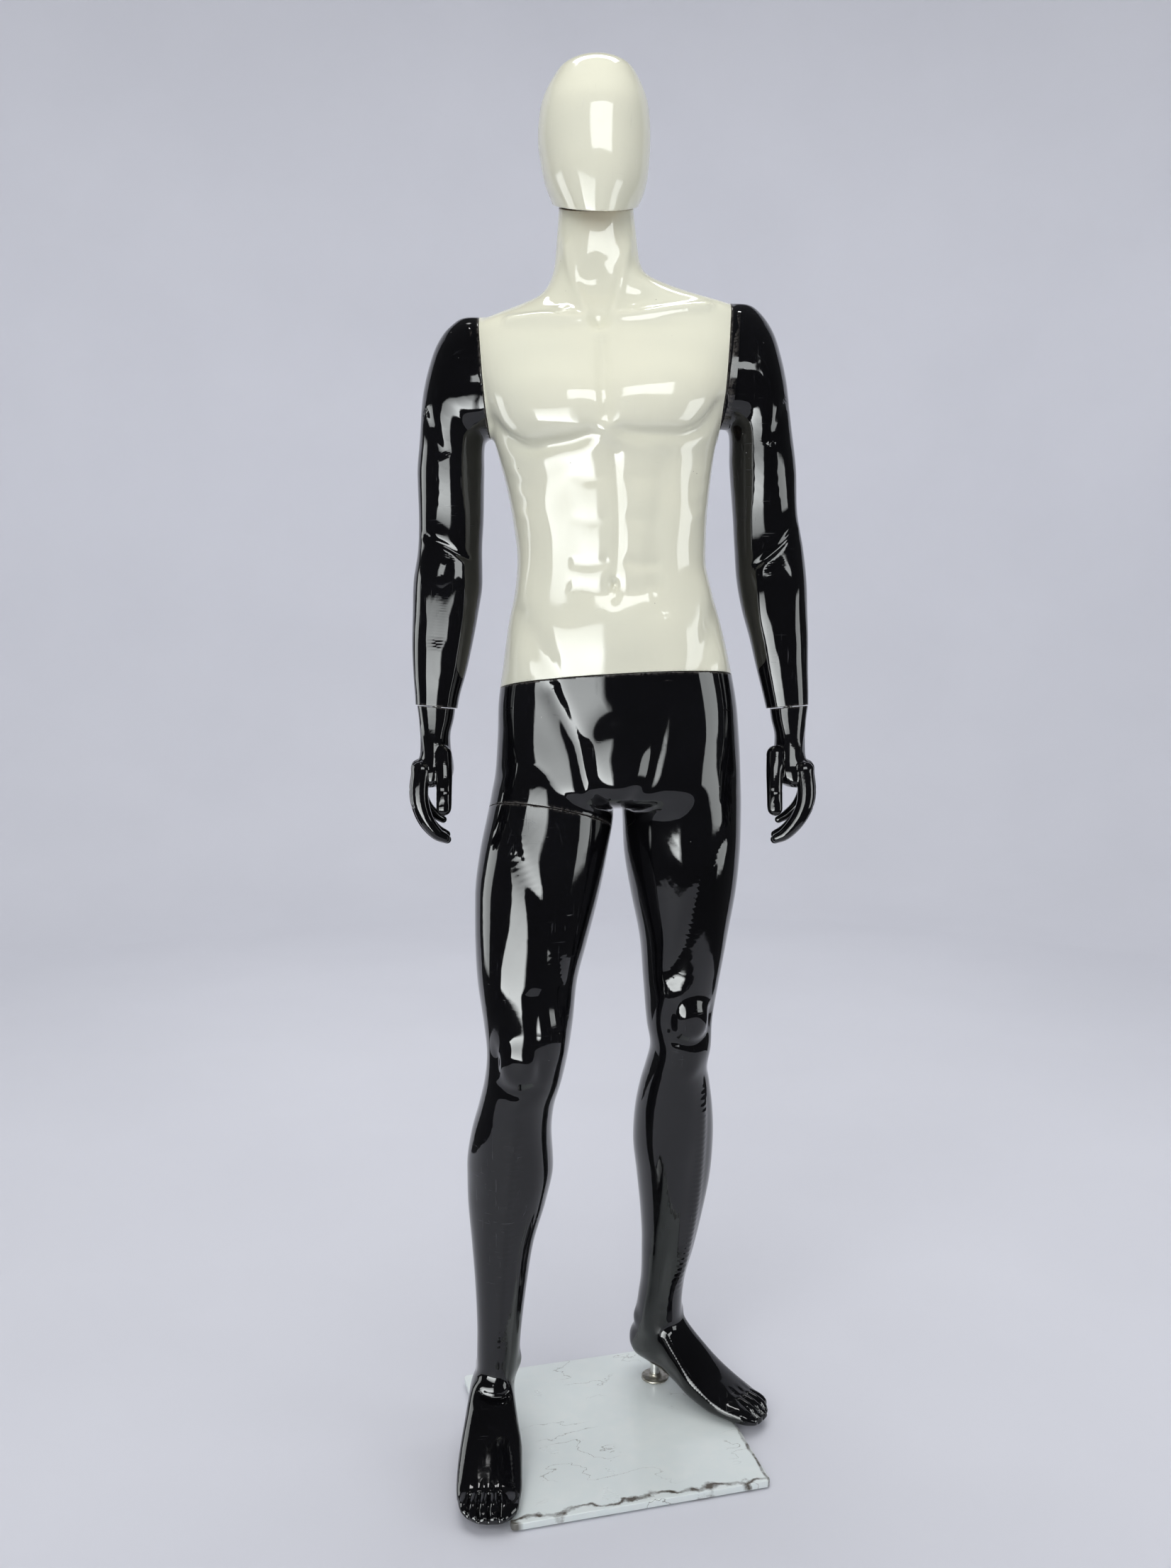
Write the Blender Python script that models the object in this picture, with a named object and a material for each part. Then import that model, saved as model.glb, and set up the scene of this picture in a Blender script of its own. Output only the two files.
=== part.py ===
"""Full-body display mannequin: hollow moulded shells joined at the neck, shoulders, wrists, waist and one thigh
by steel fittings, standing by a steel rod in the left foot on a square glass base.

Metres, +Z up, the figure faces -Y. The origin is on the floor under the middle of the glass base. Left and right
are the figure's own, so its right side is at -X.
"""

import math

import bmesh
import bpy
from mathutils import Matrix, Vector

# Walls, seams and clearances
WALL = 0.0032
SEAM_GAP = 0.0010
TOUCH = 0.0003
BOARD_FIT = 0.0010
RUNNING = 0.0004
PLATE_DEPTH = 0.0040
BULKHEAD = 0.0080
LEG_CLEARANCE = 0.003
THROUGH = 0.05

# Glass base, its pads and the fixing of the rod
GLASS_SIDE = 0.356
GLASS_THICK = 0.0095
GLASS_CORNER = 0.006
GLASS_CHAMFER = 0.0010
GLASS_HOLE_SLACK = 0.0010
GLASS_TURN = math.radians(14.8)
PAD_RADIUS = 0.008
PAD_THICK = 0.0030
PAD_INSET = 0.020
ROD_PLACE = Vector((0.0734, 0.1225, 0.0))
ROD_RADIUS = 0.0070
ROD_TOP = 0.115
ROD_CHAMFER = 0.001
FLANGE_RADIUS = 0.0205
FLANGE_THICK = 0.0025
FLANGE_CHAMFER = 0.0005
COLLAR_RADIUS = 0.0105
COLLAR_TOP_RADIUS = 0.0082
COLLAR_HEIGHT = 0.0045
GASKET_THICK = 0.0008
BOLT_RADIUS = 0.0040
BOLT_HEAD_RADIUS = 0.0080
BOLT_HEAD_THICK = 0.0014
BOLT_LENGTH = 0.030
WASHER_RADIUS = 0.0095
WASHER_THICK = 0.0006
SOCKET_TUBE_WALL = 0.0021
SOLE_AT_ROD = 0.0385

# Steel fittings, all turned about the seam's own axis
FLANGE_PLATE = 0.0024
COUNTERBORE = 0.0012
NECK_PLATE_RADIUS = 0.026
NECK_PEG_RADIUS = 0.0080
NECK_PEG_LENGTH = 0.030
NECK_PEG_FOOT = 0.006
NECK_PEG_CHAMFER = 0.002
SHOULDER_PLATE_RADIUS = 0.024
SHOULDER_STUD_RADIUS = 0.0065
SHOULDER_HEAD_RADIUS = 0.0105
SHOULDER_STUD_LENGTH = 0.016
WAIST_PLATE_RADIUS = 0.042
WAIST_STUD_RADIUS = 0.0100
WAIST_HEAD_RADIUS = 0.0160
WAIST_STUD_LENGTH = 0.022
THIGH_PLATE_RADIUS = 0.030
THIGH_STUD_RADIUS = 0.0080
THIGH_HEAD_RADIUS = 0.0130
THIGH_STUD_LENGTH = 0.018
BAR_THICK = 0.0050
BAR_FLAT = 0.0004
BAR_SET_IN = 0.00025
CUP_WALL = 0.0020
SCREW_RADIUS = 0.0022
SCREW_HEAD_RADIUS = 0.0038
SCREW_HEAD_THICK = 0.0012
SCREW_LENGTH = 0.0100
SCREW_START = math.radians(90)
WRIST_PEG_RADIUS = 0.0060
WRIST_PEG_LENGTH = 0.018
WRIST_PLUG = 0.024
SHOULDER_SIZES = (SHOULDER_PLATE_RADIUS, SHOULDER_STUD_RADIUS, SHOULDER_HEAD_RADIUS, SHOULDER_STUD_LENGTH)
WAIST_SIZES = (WAIST_PLATE_RADIUS, WAIST_STUD_RADIUS, WAIST_HEAD_RADIUS, WAIST_STUD_LENGTH)
THIGH_SIZES = (THIGH_PLATE_RADIUS, THIGH_STUD_RADIUS, THIGH_HEAD_RADIUS, THIGH_STUD_LENGTH)
SHOULDER_SLOT_TURN = math.radians(120)
SLOT_TURN = math.radians(90)

# How far the blocks that cut at a seam reach: the whole trunk, one shoulder, or one hand
TRUNK_REACH = 0.90
SHOULDER_REACH = 0.28
HAND_REACH = 0.30
NECK_REACH = 0.052

# Seams: a point on each and the direction across it, pointing away from the middle of the body
NECK_SEAM = Vector((-0.0185, 0.0240, 1.6870))
NECK_AXIS = Vector((0.0, -0.33, 1.0)).normalized()
HEAD_ROLL = math.radians(1.6)
SHOULDER_SEAMS = {"right": Vector((-0.1635, 0.0300, 1.4750)), "left": Vector((0.1480, 0.0300, 1.4900))}
SHOULDER_DROP = math.radians(5.0)
WAIST_SEAM = Vector((0.0095, 0.0250, 1.0750))
WAIST_AXIS = Vector((-0.058, 0.170, 1.0)).normalized()
THIGH_SEAM = Vector((-0.0830, 0.0150, 0.8930))
THIGH_AXIS = Vector((-0.170, -0.300, -1.0)).normalized()
WRIST_SEAMS = {"right": Vector((-0.2305, 0.0000, 1.0450)), "left": Vector((0.2373, 0.0000, 1.0450))}
WRIST_AXES = {
    "right": Vector((-0.088, -0.100, -1.0)).normalized(),
    "left": Vector((0.088, -0.100, -1.0)).normalized(),
}

# Body forms as level outlines, top to bottom: height, right edge, left edge, front, back
HEAD = (
    (1.8600, -0.0260, -0.0110, -0.0050, 0.0120),
    (1.8570, -0.0440, 0.0070, -0.0270, 0.0380),
    (1.8480, -0.0600, 0.0220, -0.0470, 0.0610),
    (1.8310, -0.0750, 0.0360, -0.0660, 0.0800),
    (1.8080, -0.0865, 0.0455, -0.0820, 0.0930),
    (1.7900, -0.0905, 0.0485, -0.0910, 0.0990),
    (1.7600, -0.0925, 0.0500, -0.0940, 0.1000),
    (1.7330, -0.0890, 0.0485, -0.0940, 0.0960),
    (1.7070, -0.0825, 0.0430, -0.0920, 0.0880),
    (1.6900, -0.0755, 0.0370, -0.0890, 0.0820),
    (1.6740, -0.0690, 0.0300, -0.0850, 0.0780),
    (1.6550, -0.0600, 0.0220, -0.0790, 0.0700),
    (1.6300, -0.0480, 0.0110, -0.0650, 0.0600),
)
TORSO = (
    (1.7150, -0.0660, 0.0290, -0.0330, 0.0790),
    (1.6770, -0.0670, 0.0300, -0.0340, 0.0800),
    (1.6390, -0.0700, 0.0350, -0.0360, 0.0840),
    (1.6140, -0.0725, 0.0390, -0.0380, 0.0880),
    (1.6010, -0.0750, 0.0460, -0.0380, 0.0920),
    (1.5880, -0.0820, 0.0750, -0.0380, 0.0960),
    (1.5750, -0.0930, 0.1150, -0.0400, 0.1000),
    (1.5660, -0.1150, 0.1520, -0.0430, 0.1040),
    (1.5550, -0.1430, 0.1740, -0.0500, 0.1080),
    (1.5400, -0.1760, 0.1760, -0.0620, 0.1120),
    (1.5100, -0.1820, 0.1760, -0.0820, 0.1200),
    (1.4800, -0.1790, 0.1700, -0.0980, 0.1240),
    (1.4450, -0.1690, 0.1590, -0.1120, 0.1280),
    (1.4100, -0.1560, 0.1430, -0.1170, 0.1280),
    (1.3900, -0.1510, 0.1385, -0.1120, 0.1260),
    (1.3700, -0.1456, 0.1350, -0.1010, 0.1240),
    (1.3350, -0.1362, 0.1307, -0.0950, 0.1180),
    (1.2900, -0.1275, 0.1265, -0.0920, 0.1090),
    (1.2400, -0.1220, 0.1255, -0.0880, 0.1020),
    (1.2000, -0.1250, 0.1335, -0.0870, 0.1020),
    (1.1500, -0.1350, 0.1480, -0.0880, 0.1080),
    (1.1000, -0.1420, 0.1600, -0.0900, 0.1180),
    (1.0500, -0.1490, 0.1700, -0.0900, 0.1290),
    (1.0200, -0.1500, 0.1730, -0.0900, 0.1340),
)
RIGHT_SHOULDER = (
    (1.5470, -0.1960, -0.1480, 0.0150, 0.0500),
    (1.5390, -0.2080, -0.1300, 0.0000, 0.0650),
    (1.5200, -0.2220, -0.1150, -0.0180, 0.0830),
    (1.4900, -0.2350, -0.1050, -0.0350, 0.0980),
    (1.4550, -0.2420, -0.1050, -0.0440, 0.1020),
    (1.4250, -0.2400, -0.1150, -0.0400, 0.0970),
    (1.4050, -0.2150, -0.1400, -0.0240, 0.0800),
    (1.3970, -0.1900, -0.1550, -0.0050, 0.0600),
)
LEFT_SHOULDER = (
    (1.5640, 0.1360, 0.1840, 0.0150, 0.0500),
    (1.5560, 0.1180, 0.1950, 0.0000, 0.0650),
    (1.5370, 0.1030, 0.2080, -0.0180, 0.0830),
    (1.5060, 0.0930, 0.2200, -0.0350, 0.0980),
    (1.4710, 0.0930, 0.2270, -0.0440, 0.1020),
    (1.4400, 0.1030, 0.2280, -0.0400, 0.0970),
    (1.4200, 0.1280, 0.2050, -0.0240, 0.0800),
    (1.4120, 0.1430, 0.1780, -0.0050, 0.0600),
)
PELVIS = (
    (1.1500, -0.1350, 0.1480, -0.0880, 0.1080),
    (1.1000, -0.1420, 0.1600, -0.0900, 0.1180),
    (1.0500, -0.1490, 0.1700, -0.0900, 0.1290),
    (1.0100, -0.1505, 0.1740, -0.0910, 0.1350),
    (0.9700, -0.1530, 0.1770, -0.0930, 0.1370),
    (0.9450, -0.1550, 0.1780, -0.0940, 0.1350),
    (0.9300, -0.1480, 0.1700, -0.0860, 0.1280),
    (0.9190, -0.1250, 0.1450, -0.0650, 0.1100),
    (0.9140, -0.0800, 0.1000, -0.0400, 0.0850),
)
RIGHT_LEG = (
    (0.9900, -0.1440, -0.0120, -0.0700, 0.1200),
    (0.9450, -0.1560, 0.0000, -0.0880, 0.1280),
    (0.9040, -0.1640, 0.0060, -0.0930, 0.1220),
    (0.8500, -0.1750, -0.0020, -0.0980, 0.1070),
    (0.7900, -0.1815, -0.0145, -0.1000, 0.0910),
    (0.7300, -0.1810, -0.0300, -0.1010, 0.0750),
    (0.6800, -0.1780, -0.0430, -0.1000, 0.0620),
    (0.6200, -0.1692, -0.0496, -0.0970, 0.0460),
    (0.5820, -0.1655, -0.0554, -0.0940, 0.0380),
    (0.5420, -0.1693, -0.0640, -0.0880, 0.0380),
    (0.5020, -0.1785, -0.0749, -0.0800, 0.0460),
    (0.4600, -0.1897, -0.0789, -0.0740, 0.0540),
    (0.4100, -0.1965, -0.0770, -0.0690, 0.0580),
    (0.3600, -0.1960, -0.0865, -0.0650, 0.0520),
    (0.3000, -0.1912, -0.1040, -0.0590, 0.0390),
    (0.2400, -0.1870, -0.1140, -0.0550, 0.0290),
    (0.1700, -0.1847, -0.1225, -0.0530, 0.0240),
    (0.1200, -0.1860, -0.1270, -0.0520, 0.0280),
    (0.0800, -0.1850, -0.1340, -0.0450, 0.0300),
)
LEFT_LEG = (
    (0.9900, 0.0140, 0.1700, -0.0600, 0.1250),
    (0.9450, 0.0140, 0.1785, -0.0740, 0.1320),
    (0.9030, 0.0174, 0.1801, -0.0740, 0.1290),
    (0.8440, 0.0205, 0.1789, -0.0700, 0.1220),
    (0.7900, 0.0295, 0.1740, -0.0620, 0.1140),
    (0.7240, 0.0425, 0.1625, -0.0520, 0.1040),
    (0.6640, 0.0477, 0.1520, -0.0430, 0.0950),
    (0.6040, 0.0529, 0.1440, -0.0340, 0.0860),
    (0.5700, 0.0580, 0.1430, -0.0280, 0.0860),
    (0.5370, 0.0519, 0.1390, -0.0180, 0.0930),
    (0.5140, 0.0462, 0.1428, -0.0100, 0.1020),
    (0.4690, 0.0387, 0.1490, 0.0000, 0.1180),
    (0.4200, 0.0362, 0.1516, 0.0110, 0.1310),
    (0.3600, 0.0420, 0.1490, 0.0270, 0.1390),
    (0.3000, 0.0480, 0.1400, 0.0440, 0.1420),
    (0.2400, 0.0510, 0.1290, 0.0620, 0.1460),
    (0.1800, 0.0505, 0.1160, 0.0770, 0.1530),
    (0.1310, 0.0450, 0.1130, 0.0850, 0.1620),
    (0.0950, 0.0440, 0.1130, 0.0900, 0.1660),
)
RIGHT_ARM = (
    (1.5510, -0.1950, -0.1700, 0.0180, 0.0430),
    (1.5470, -0.2000, -0.1450, 0.0080, 0.0550),
    (1.5350, -0.2130, -0.1320, -0.0080, 0.0700),
    (1.5150, -0.2260, -0.1260, -0.0240, 0.0850),
    (1.4850, -0.2370, -0.1260, -0.0360, 0.0950),
    (1.4500, -0.2450, -0.1350, -0.0400, 0.0970),
    (1.4200, -0.2480, -0.1560, -0.0360, 0.0930),
    (1.3950, -0.2500, -0.1640, -0.0310, 0.0880),
    (1.3500, -0.2540, -0.1660, -0.0240, 0.0820),
    (1.2900, -0.2530, -0.1675, -0.0160, 0.0730),
    (1.2500, -0.2547, -0.1695, -0.0180, 0.0680),
    (1.2110, -0.2604, -0.1690, -0.0260, 0.0640),
    (1.1700, -0.2615, -0.1745, -0.0300, 0.0570),
    (1.1300, -0.2625, -0.1820, -0.0310, 0.0480),
    (1.0900, -0.2612, -0.1910, -0.0300, 0.0380),
    (1.0600, -0.2590, -0.1995, -0.0290, 0.0310),
    (1.0300, -0.2580, -0.2050, -0.0290, 0.0260),
)
LEFT_ARM = (
    (1.5680, 0.1570, 0.1830, 0.0180, 0.0430),
    (1.5640, 0.1330, 0.1880, 0.0080, 0.0550),
    (1.5520, 0.1220, 0.1990, -0.0080, 0.0700),
    (1.5320, 0.1160, 0.2115, -0.0240, 0.0850),
    (1.5000, 0.1160, 0.2225, -0.0360, 0.0950),
    (1.4650, 0.1250, 0.2305, -0.0400, 0.0970),
    (1.4350, 0.1470, 0.2343, -0.0360, 0.0930),
    (1.4100, 0.1555, 0.2378, -0.0310, 0.0880),
    (1.3590, 0.1580, 0.2451, -0.0240, 0.0820),
    (1.2980, 0.1630, 0.2485, -0.0160, 0.0730),
    (1.2560, 0.1655, 0.2560, -0.0180, 0.0680),
    (1.2110, 0.1686, 0.2610, -0.0260, 0.0640),
    (1.1740, 0.1753, 0.2620, -0.0300, 0.0570),
    (1.1360, 0.1857, 0.2631, -0.0310, 0.0480),
    (1.0990, 0.1943, 0.2632, -0.0300, 0.0380),
    (1.0620, 0.2038, 0.2642, -0.0290, 0.0310),
    (1.0300, 0.2115, 0.2643, -0.0290, 0.0260),
)
RIGHT_HAND = (
    (1.0600, -0.2575, -0.2040, -0.0270, 0.0270),
    (1.0300, -0.2565, -0.2070, -0.0290, 0.0250),
    (1.0060, -0.2570, -0.2106, -0.0320, 0.0230),
    (0.9850, -0.2570, -0.2130, -0.0420, 0.0240),
    (0.9600, -0.2610, -0.2260, -0.0520, 0.0270),
    (0.9310, -0.2670, -0.2357, -0.0570, 0.0260),
    (0.9030, -0.2600, -0.2280, -0.0580, 0.0210),
    (0.8800, -0.2470, -0.2170, -0.0560, 0.0120),
    (0.8660, -0.2290, -0.2100, -0.0480, -0.0020),
)
RIGHT_THUMB = (
    (1.0020, -0.2340, -0.2150, -0.0330, -0.0080),
    (0.9800, -0.2340, -0.2080, -0.0510, -0.0240),
    (0.9620, -0.2280, -0.2040, -0.0590, -0.0350),
    (0.9300, -0.2265, -0.2035, -0.0660, -0.0430),
    (0.9080, -0.2240, -0.2050, -0.0660, -0.0470),
    (0.9010, -0.2190, -0.2090, -0.0620, -0.0520),
)
LEFT_HAND = (
    (1.0600, 0.2085, 0.2645, -0.0270, 0.0270),
    (1.0300, 0.2120, 0.2645, -0.0290, 0.0250),
    (1.0060, 0.2150, 0.2632, -0.0320, 0.0230),
    (0.9850, 0.2160, 0.2665, -0.0420, 0.0240),
    (0.9600, 0.2300, 0.2710, -0.0520, 0.0270),
    (0.9310, 0.2380, 0.2742, -0.0570, 0.0260),
    (0.9050, 0.2290, 0.2660, -0.0580, 0.0210),
    (0.8830, 0.2160, 0.2500, -0.0560, 0.0120),
    (0.8700, 0.2130, 0.2330, -0.0480, -0.0020),
)
LEFT_THUMB = (
    (1.0020, 0.2160, 0.2370, -0.0330, -0.0080),
    (0.9800, 0.2070, 0.2370, -0.0510, -0.0240),
    (0.9620, 0.2030, 0.2270, -0.0590, -0.0350),
    (0.9300, 0.2025, 0.2235, -0.0660, -0.0430),
    (0.9080, 0.2040, 0.2230, -0.0660, -0.0470),
    (0.9010, 0.2080, 0.2190, -0.0620, -0.0520),
)

# Feet: the back of the heel, the tip of the toes, and outlines across the foot from heel to toe:
# distance from the heel, edge towards -X, edge towards +X, height of the sole and of the top above the glass
RIGHT_HEEL = Vector((-0.1660, 0.0350, 0.0))
RIGHT_TOE = Vector((-0.1550, -0.2240, 0.0))
RIGHT_FOOT = (
    (0.0000, -0.0170, 0.0170, 0.0160, 0.0480),
    (0.0120, -0.0260, 0.0260, 0.0040, 0.0720),
    (0.0400, -0.0320, 0.0310, 0.0000, 0.0970),
    (0.0780, -0.0340, 0.0330, 0.0000, 0.1020),
    (0.1080, -0.0380, 0.0370, 0.0025, 0.0800),
    (0.1450, -0.0430, 0.0420, 0.0010, 0.0550),
    (0.1850, -0.0450, 0.0420, 0.0000, 0.0360),
    (0.2180, -0.0430, 0.0400, 0.0000, 0.0240),
    (0.2450, -0.0330, 0.0340, 0.0000, 0.0180),
    (0.2590, -0.0150, 0.0200, 0.0035, 0.0120),
)
LEFT_HEEL = Vector((0.0434, 0.1582, 0.0))
LEFT_TOE = Vector((0.2240, 0.0020, 0.0))
LEFT_FOOT = (
    (0.0000, -0.0170, 0.0170, 0.0430, 0.0700),
    (0.0120, -0.0260, 0.0250, 0.0300, 0.0880),
    (0.0400, -0.0320, 0.0300, 0.0250, 0.1120),
    (0.0720, -0.0340, 0.0320, 0.0215, 0.1080),
    (0.1000, -0.0380, 0.0330, 0.0160, 0.0850),
    (0.1350, -0.0430, 0.0360, 0.0060, 0.0580),
    (0.1700, -0.0430, 0.0380, 0.0000, 0.0390),
    (0.2000, -0.0390, 0.0370, 0.0000, 0.0280),
    (0.2250, -0.0300, 0.0280, 0.0000, 0.0190),
    (0.2380, -0.0200, 0.0100, 0.0035, 0.0120),
)

# How squarely each outline fills its box: 2 is an ellipse
ROUND = 2.1
CHEST = 2.3
FOOT = 2.6

# Points round an outline, on a shell's outside and, half as many, in its hollow
TRUNK_POINTS = 24
LIMB_POINTS = 16
SMALL_POINTS = 10
TURNED_POINTS = 14

PARTS = "mannequin"
GUIDES = "mannequin_cutters"

FINISHES = {
    "ivory": ((0.80, 0.80, 0.72, 1.0), 0.12, 0.0),
    "black": ((0.010, 0.010, 0.012, 1.0), 0.06, 0.0),
    "board": ((0.55, 0.42, 0.28, 1.0), 0.70, 0.0),
    "steel": ((0.62, 0.62, 0.62, 1.0), 0.30, 1.0),
    "glass": ((0.80, 0.92, 0.88, 0.6), 0.05, 0.0),
    "clear_rubber": ((0.80, 0.80, 0.78, 1.0), 0.40, 0.0),
}


def clear_scene():
    for obj in list(bpy.data.objects):
        bpy.data.objects.remove(obj, do_unlink=True)
    for name in (PARTS, GUIDES):
        collection = bpy.data.collections.new(name)
        bpy.context.scene.collection.children.link(collection)


def finish(name, colour, roughness, metallic):
    made = bpy.data.materials.new(name)
    made.use_nodes = True
    shader = made.node_tree.nodes["Principled BSDF"]
    shader.inputs["Base Color"].default_value = colour
    shader.inputs["Roughness"].default_value = roughness
    shader.inputs["Metallic"].default_value = metallic
    return made


def part(name, mesh, slot, place=None):
    """A named piece of the mannequin with its own material."""
    obj = bpy.data.objects.new(name, mesh)
    bpy.data.collections[PARTS].objects.link(obj)
    obj.data.materials.append(finish(name, *FINISHES[slot]))
    if place:
        obj.matrix_world = place
    mesh.shade_smooth()
    mesh.set_sharp_from_angle(angle=math.radians(35))
    return obj


def guide(name, mesh, place=None):
    """A cutter or a form that only shapes others."""
    obj = bpy.data.objects.new(name, mesh)
    bpy.data.collections[GUIDES].objects.link(obj)
    obj.hide_render = True
    obj.display_type = "WIRE"
    if place:
        obj.matrix_world = place
    return obj


def across(point, axis):
    """A frame with its origin at the point and its +Z along the axis."""
    return Matrix.Translation(point) @ axis.to_track_quat("Z", "Y").to_matrix().to_4x4()


def rounded(value, power):
    return math.copysign(abs(value) ** (2.0 / power), value)


def level_ring(level, points, power):
    """One level outline of a body form as points round it."""
    height, low_x, high_x, low_y, high_y = level
    middle = Vector(((low_x + high_x) / 2, (low_y + high_y) / 2, height))
    ring = []
    for i in range(points):
        turn = math.tau * i / points
        across_x = rounded(math.cos(turn), power) * (high_x - low_x) / 2
        across_y = rounded(math.sin(turn), power) * (high_y - low_y) / 2
        ring.append(middle + Vector((across_x, across_y, 0.0)))
    return ring


def foot_ring(heel, toe, floor, outline, points, power):
    """One outline across a foot, in an upright plane square to the line from heel to toe."""
    along, low, high, sole, top = outline
    forward = (toe - heel).normalized()
    side = Vector((-forward.y, forward.x, 0.0))
    start = heel + forward * along + Vector((0.0, 0.0, floor))
    ring = []
    for i in range(points):
        turn = math.tau * i / points
        reach = (low + high) / 2 + rounded(math.cos(turn), power) * (high - low) / 2
        height = (sole + top) / 2 + rounded(math.sin(turn), power) * (top - sole) / 2
        ring.append(start + side * reach + Vector((0.0, 0.0, height)))
    return ring


def skin(rings, inset=0.0):
    """A closed surface through the rings, drawn in by the inset."""
    mesh = bmesh.new()
    rows = [[mesh.verts.new(point) for point in ring] for ring in rings]
    for upper, lower in zip(rows, rows[1:]):
        for i, corner in enumerate(upper):
            beside = (i + 1) % len(upper)
            mesh.faces.new((corner, upper[beside], lower[beside], lower[i]))
    mesh.faces.new(rows[0])
    mesh.faces.new(rows[-1])
    bmesh.ops.recalc_face_normals(mesh, faces=mesh.faces)
    if inset:
        mesh.normal_update()
        drawn = [vert.co - vert.normal * inset * vert.calc_shell_factor() for vert in mesh.verts]
        for vert, place in zip(mesh.verts, drawn):
            vert.co = place
    made = bpy.data.meshes.new("skin")
    mesh.to_mesh(made)
    mesh.free()
    return made


def body_mesh(levels, points, power, inset=0.0):
    return skin([level_ring(level, points, power) for level in levels], inset)


def foot_mesh(heel, toe, outlines, points):
    floor = PAD_THICK + GLASS_THICK + TOUCH
    return skin([foot_ring(heel, toe, floor, outline, points, FOOT) for outline in outlines])


def boolean(obj, operation, tool):
    cut = obj.modifiers.new(operation.lower() + "_" + tool.name, "BOOLEAN")
    cut.operation = operation
    cut.object = tool
    return cut


def joined(name, meshes):
    """Forms run together into one guide solid."""
    first = guide(name, meshes[0])
    for i, mesh in enumerate(meshes[1:]):
        boolean(first, "UNION", guide(f"{name}_{i + 1}", mesh))
    return first


def block_mesh(name, size, middle):
    mesh = bmesh.new()
    bmesh.ops.create_cube(mesh, size=1.0)
    place = Matrix.Translation(middle) @ Matrix.Diagonal((*size, 1.0))
    bmesh.ops.transform(mesh, matrix=place, verts=mesh.verts)
    made = bpy.data.meshes.new(name)
    mesh.to_mesh(made)
    mesh.free()
    return made


def half_space(name, point, axis, reach):
    """A block that holds everything beyond a seam, along the axis."""
    mesh = block_mesh(name, (reach, reach, reach), (0.0, 0.0, reach / 2))
    return guide(name, mesh, across(point, axis))


def slab(name, point, axis, start, thick):
    """A flat block parallel to a seam, from start to start + thick along the axis."""
    mesh = block_mesh(name, (SHOULDER_REACH, SHOULDER_REACH, thick), (0.0, 0.0, start + thick / 2))
    return guide(name, mesh, across(point, axis))


def turned_mesh(profile, points=TURNED_POINTS):
    """A turned solid. A profile that starts on the axis ends on it too, and any other is a closed ring."""
    mesh = bmesh.new()
    edge = [mesh.verts.new((radius, 0.0, height)) for radius, height in profile]
    lines = [mesh.edges.new(pair) for pair in zip(edge, edge[1:])]
    if profile[0][0] > 0:
        lines.append(mesh.edges.new((edge[-1], edge[0])))
    turn = {"cent": (0, 0, 0), "axis": (0, 0, 1), "angle": math.tau, "steps": points, "use_merge": True}
    bmesh.ops.spin(mesh, geom=edge + lines, **turn)
    bmesh.ops.remove_doubles(mesh, verts=mesh.verts, dist=1e-6)
    bmesh.ops.recalc_face_normals(mesh, faces=mesh.faces)
    made = bpy.data.meshes.new("turned")
    mesh.to_mesh(made)
    mesh.free()
    return made


def cylinder_mesh(radius, low, high):
    return turned_mesh([(0.0, high), (radius, high), (radius, low), (0.0, low)])


def hole(name, point, axis, radius, low, high):
    """A round cutter along an axis."""
    return guide(name, cylinder_mesh(radius, low, high), across(point, axis))


def forms(names, inset):
    """The named body forms, at full size or drawn in to make a hollow or what fits one."""
    tables = {
        "head": (HEAD, TRUNK_POINTS, ROUND),
        "torso": (TORSO, TRUNK_POINTS, CHEST),
        "pelvis": (PELVIS, TRUNK_POINTS, CHEST),
        "right_shoulder": (RIGHT_SHOULDER, LIMB_POINTS, ROUND),
        "left_shoulder": (LEFT_SHOULDER, LIMB_POINTS, ROUND),
        "right_leg": (RIGHT_LEG, LIMB_POINTS, ROUND),
        "left_leg": (LEFT_LEG, LIMB_POINTS, ROUND),
        "right_arm": (RIGHT_ARM, LIMB_POINTS, ROUND),
        "left_arm": (LEFT_ARM, LIMB_POINTS, ROUND),
    }
    meshes = []
    for name in names:
        levels, points, power = tables[name]
        meshes.append(body_mesh(levels, points // 2 if inset else points, power, inset))
    return meshes


def run_together(obj, meshes):
    for i, mesh in enumerate(meshes):
        boolean(obj, "UNION", guide(f"{obj.name}_form_{i + 1}", mesh))


def shell(name, slot, names, cutters, solids=()):
    """A hollow moulding: its forms run together, hollowed, with any solid ends added, and cut at its seams."""
    first, *rest = forms(names, 0.0)
    obj = part(name, first, slot)
    run_together(obj, rest)
    boolean(obj, "DIFFERENCE", joined(f"{name}_hollow", forms(names, WALL)))
    for i, mesh in enumerate(solids):
        boolean(obj, "UNION", guide(f"{name}_solid_{i + 1}", mesh))
    for cutter in cutters:
        boolean(obj, "DIFFERENCE", cutter)
    return obj


def bulkhead(name, names, point, axis, start, thick, bore):
    """A board that closes a shell at a seam, with a hole for the fitting that it carries."""
    first, *rest = forms(names, WALL + BOARD_FIT)
    obj = part(name, first, "board")
    run_together(obj, rest)
    boolean(obj, "INTERSECT", slab(f"{name}_slab", point, axis, start, thick))
    boolean(obj, "DIFFERENCE", hole(f"{name}_bore", point, axis, bore, -THROUGH, THROUGH))
    return obj


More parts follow.
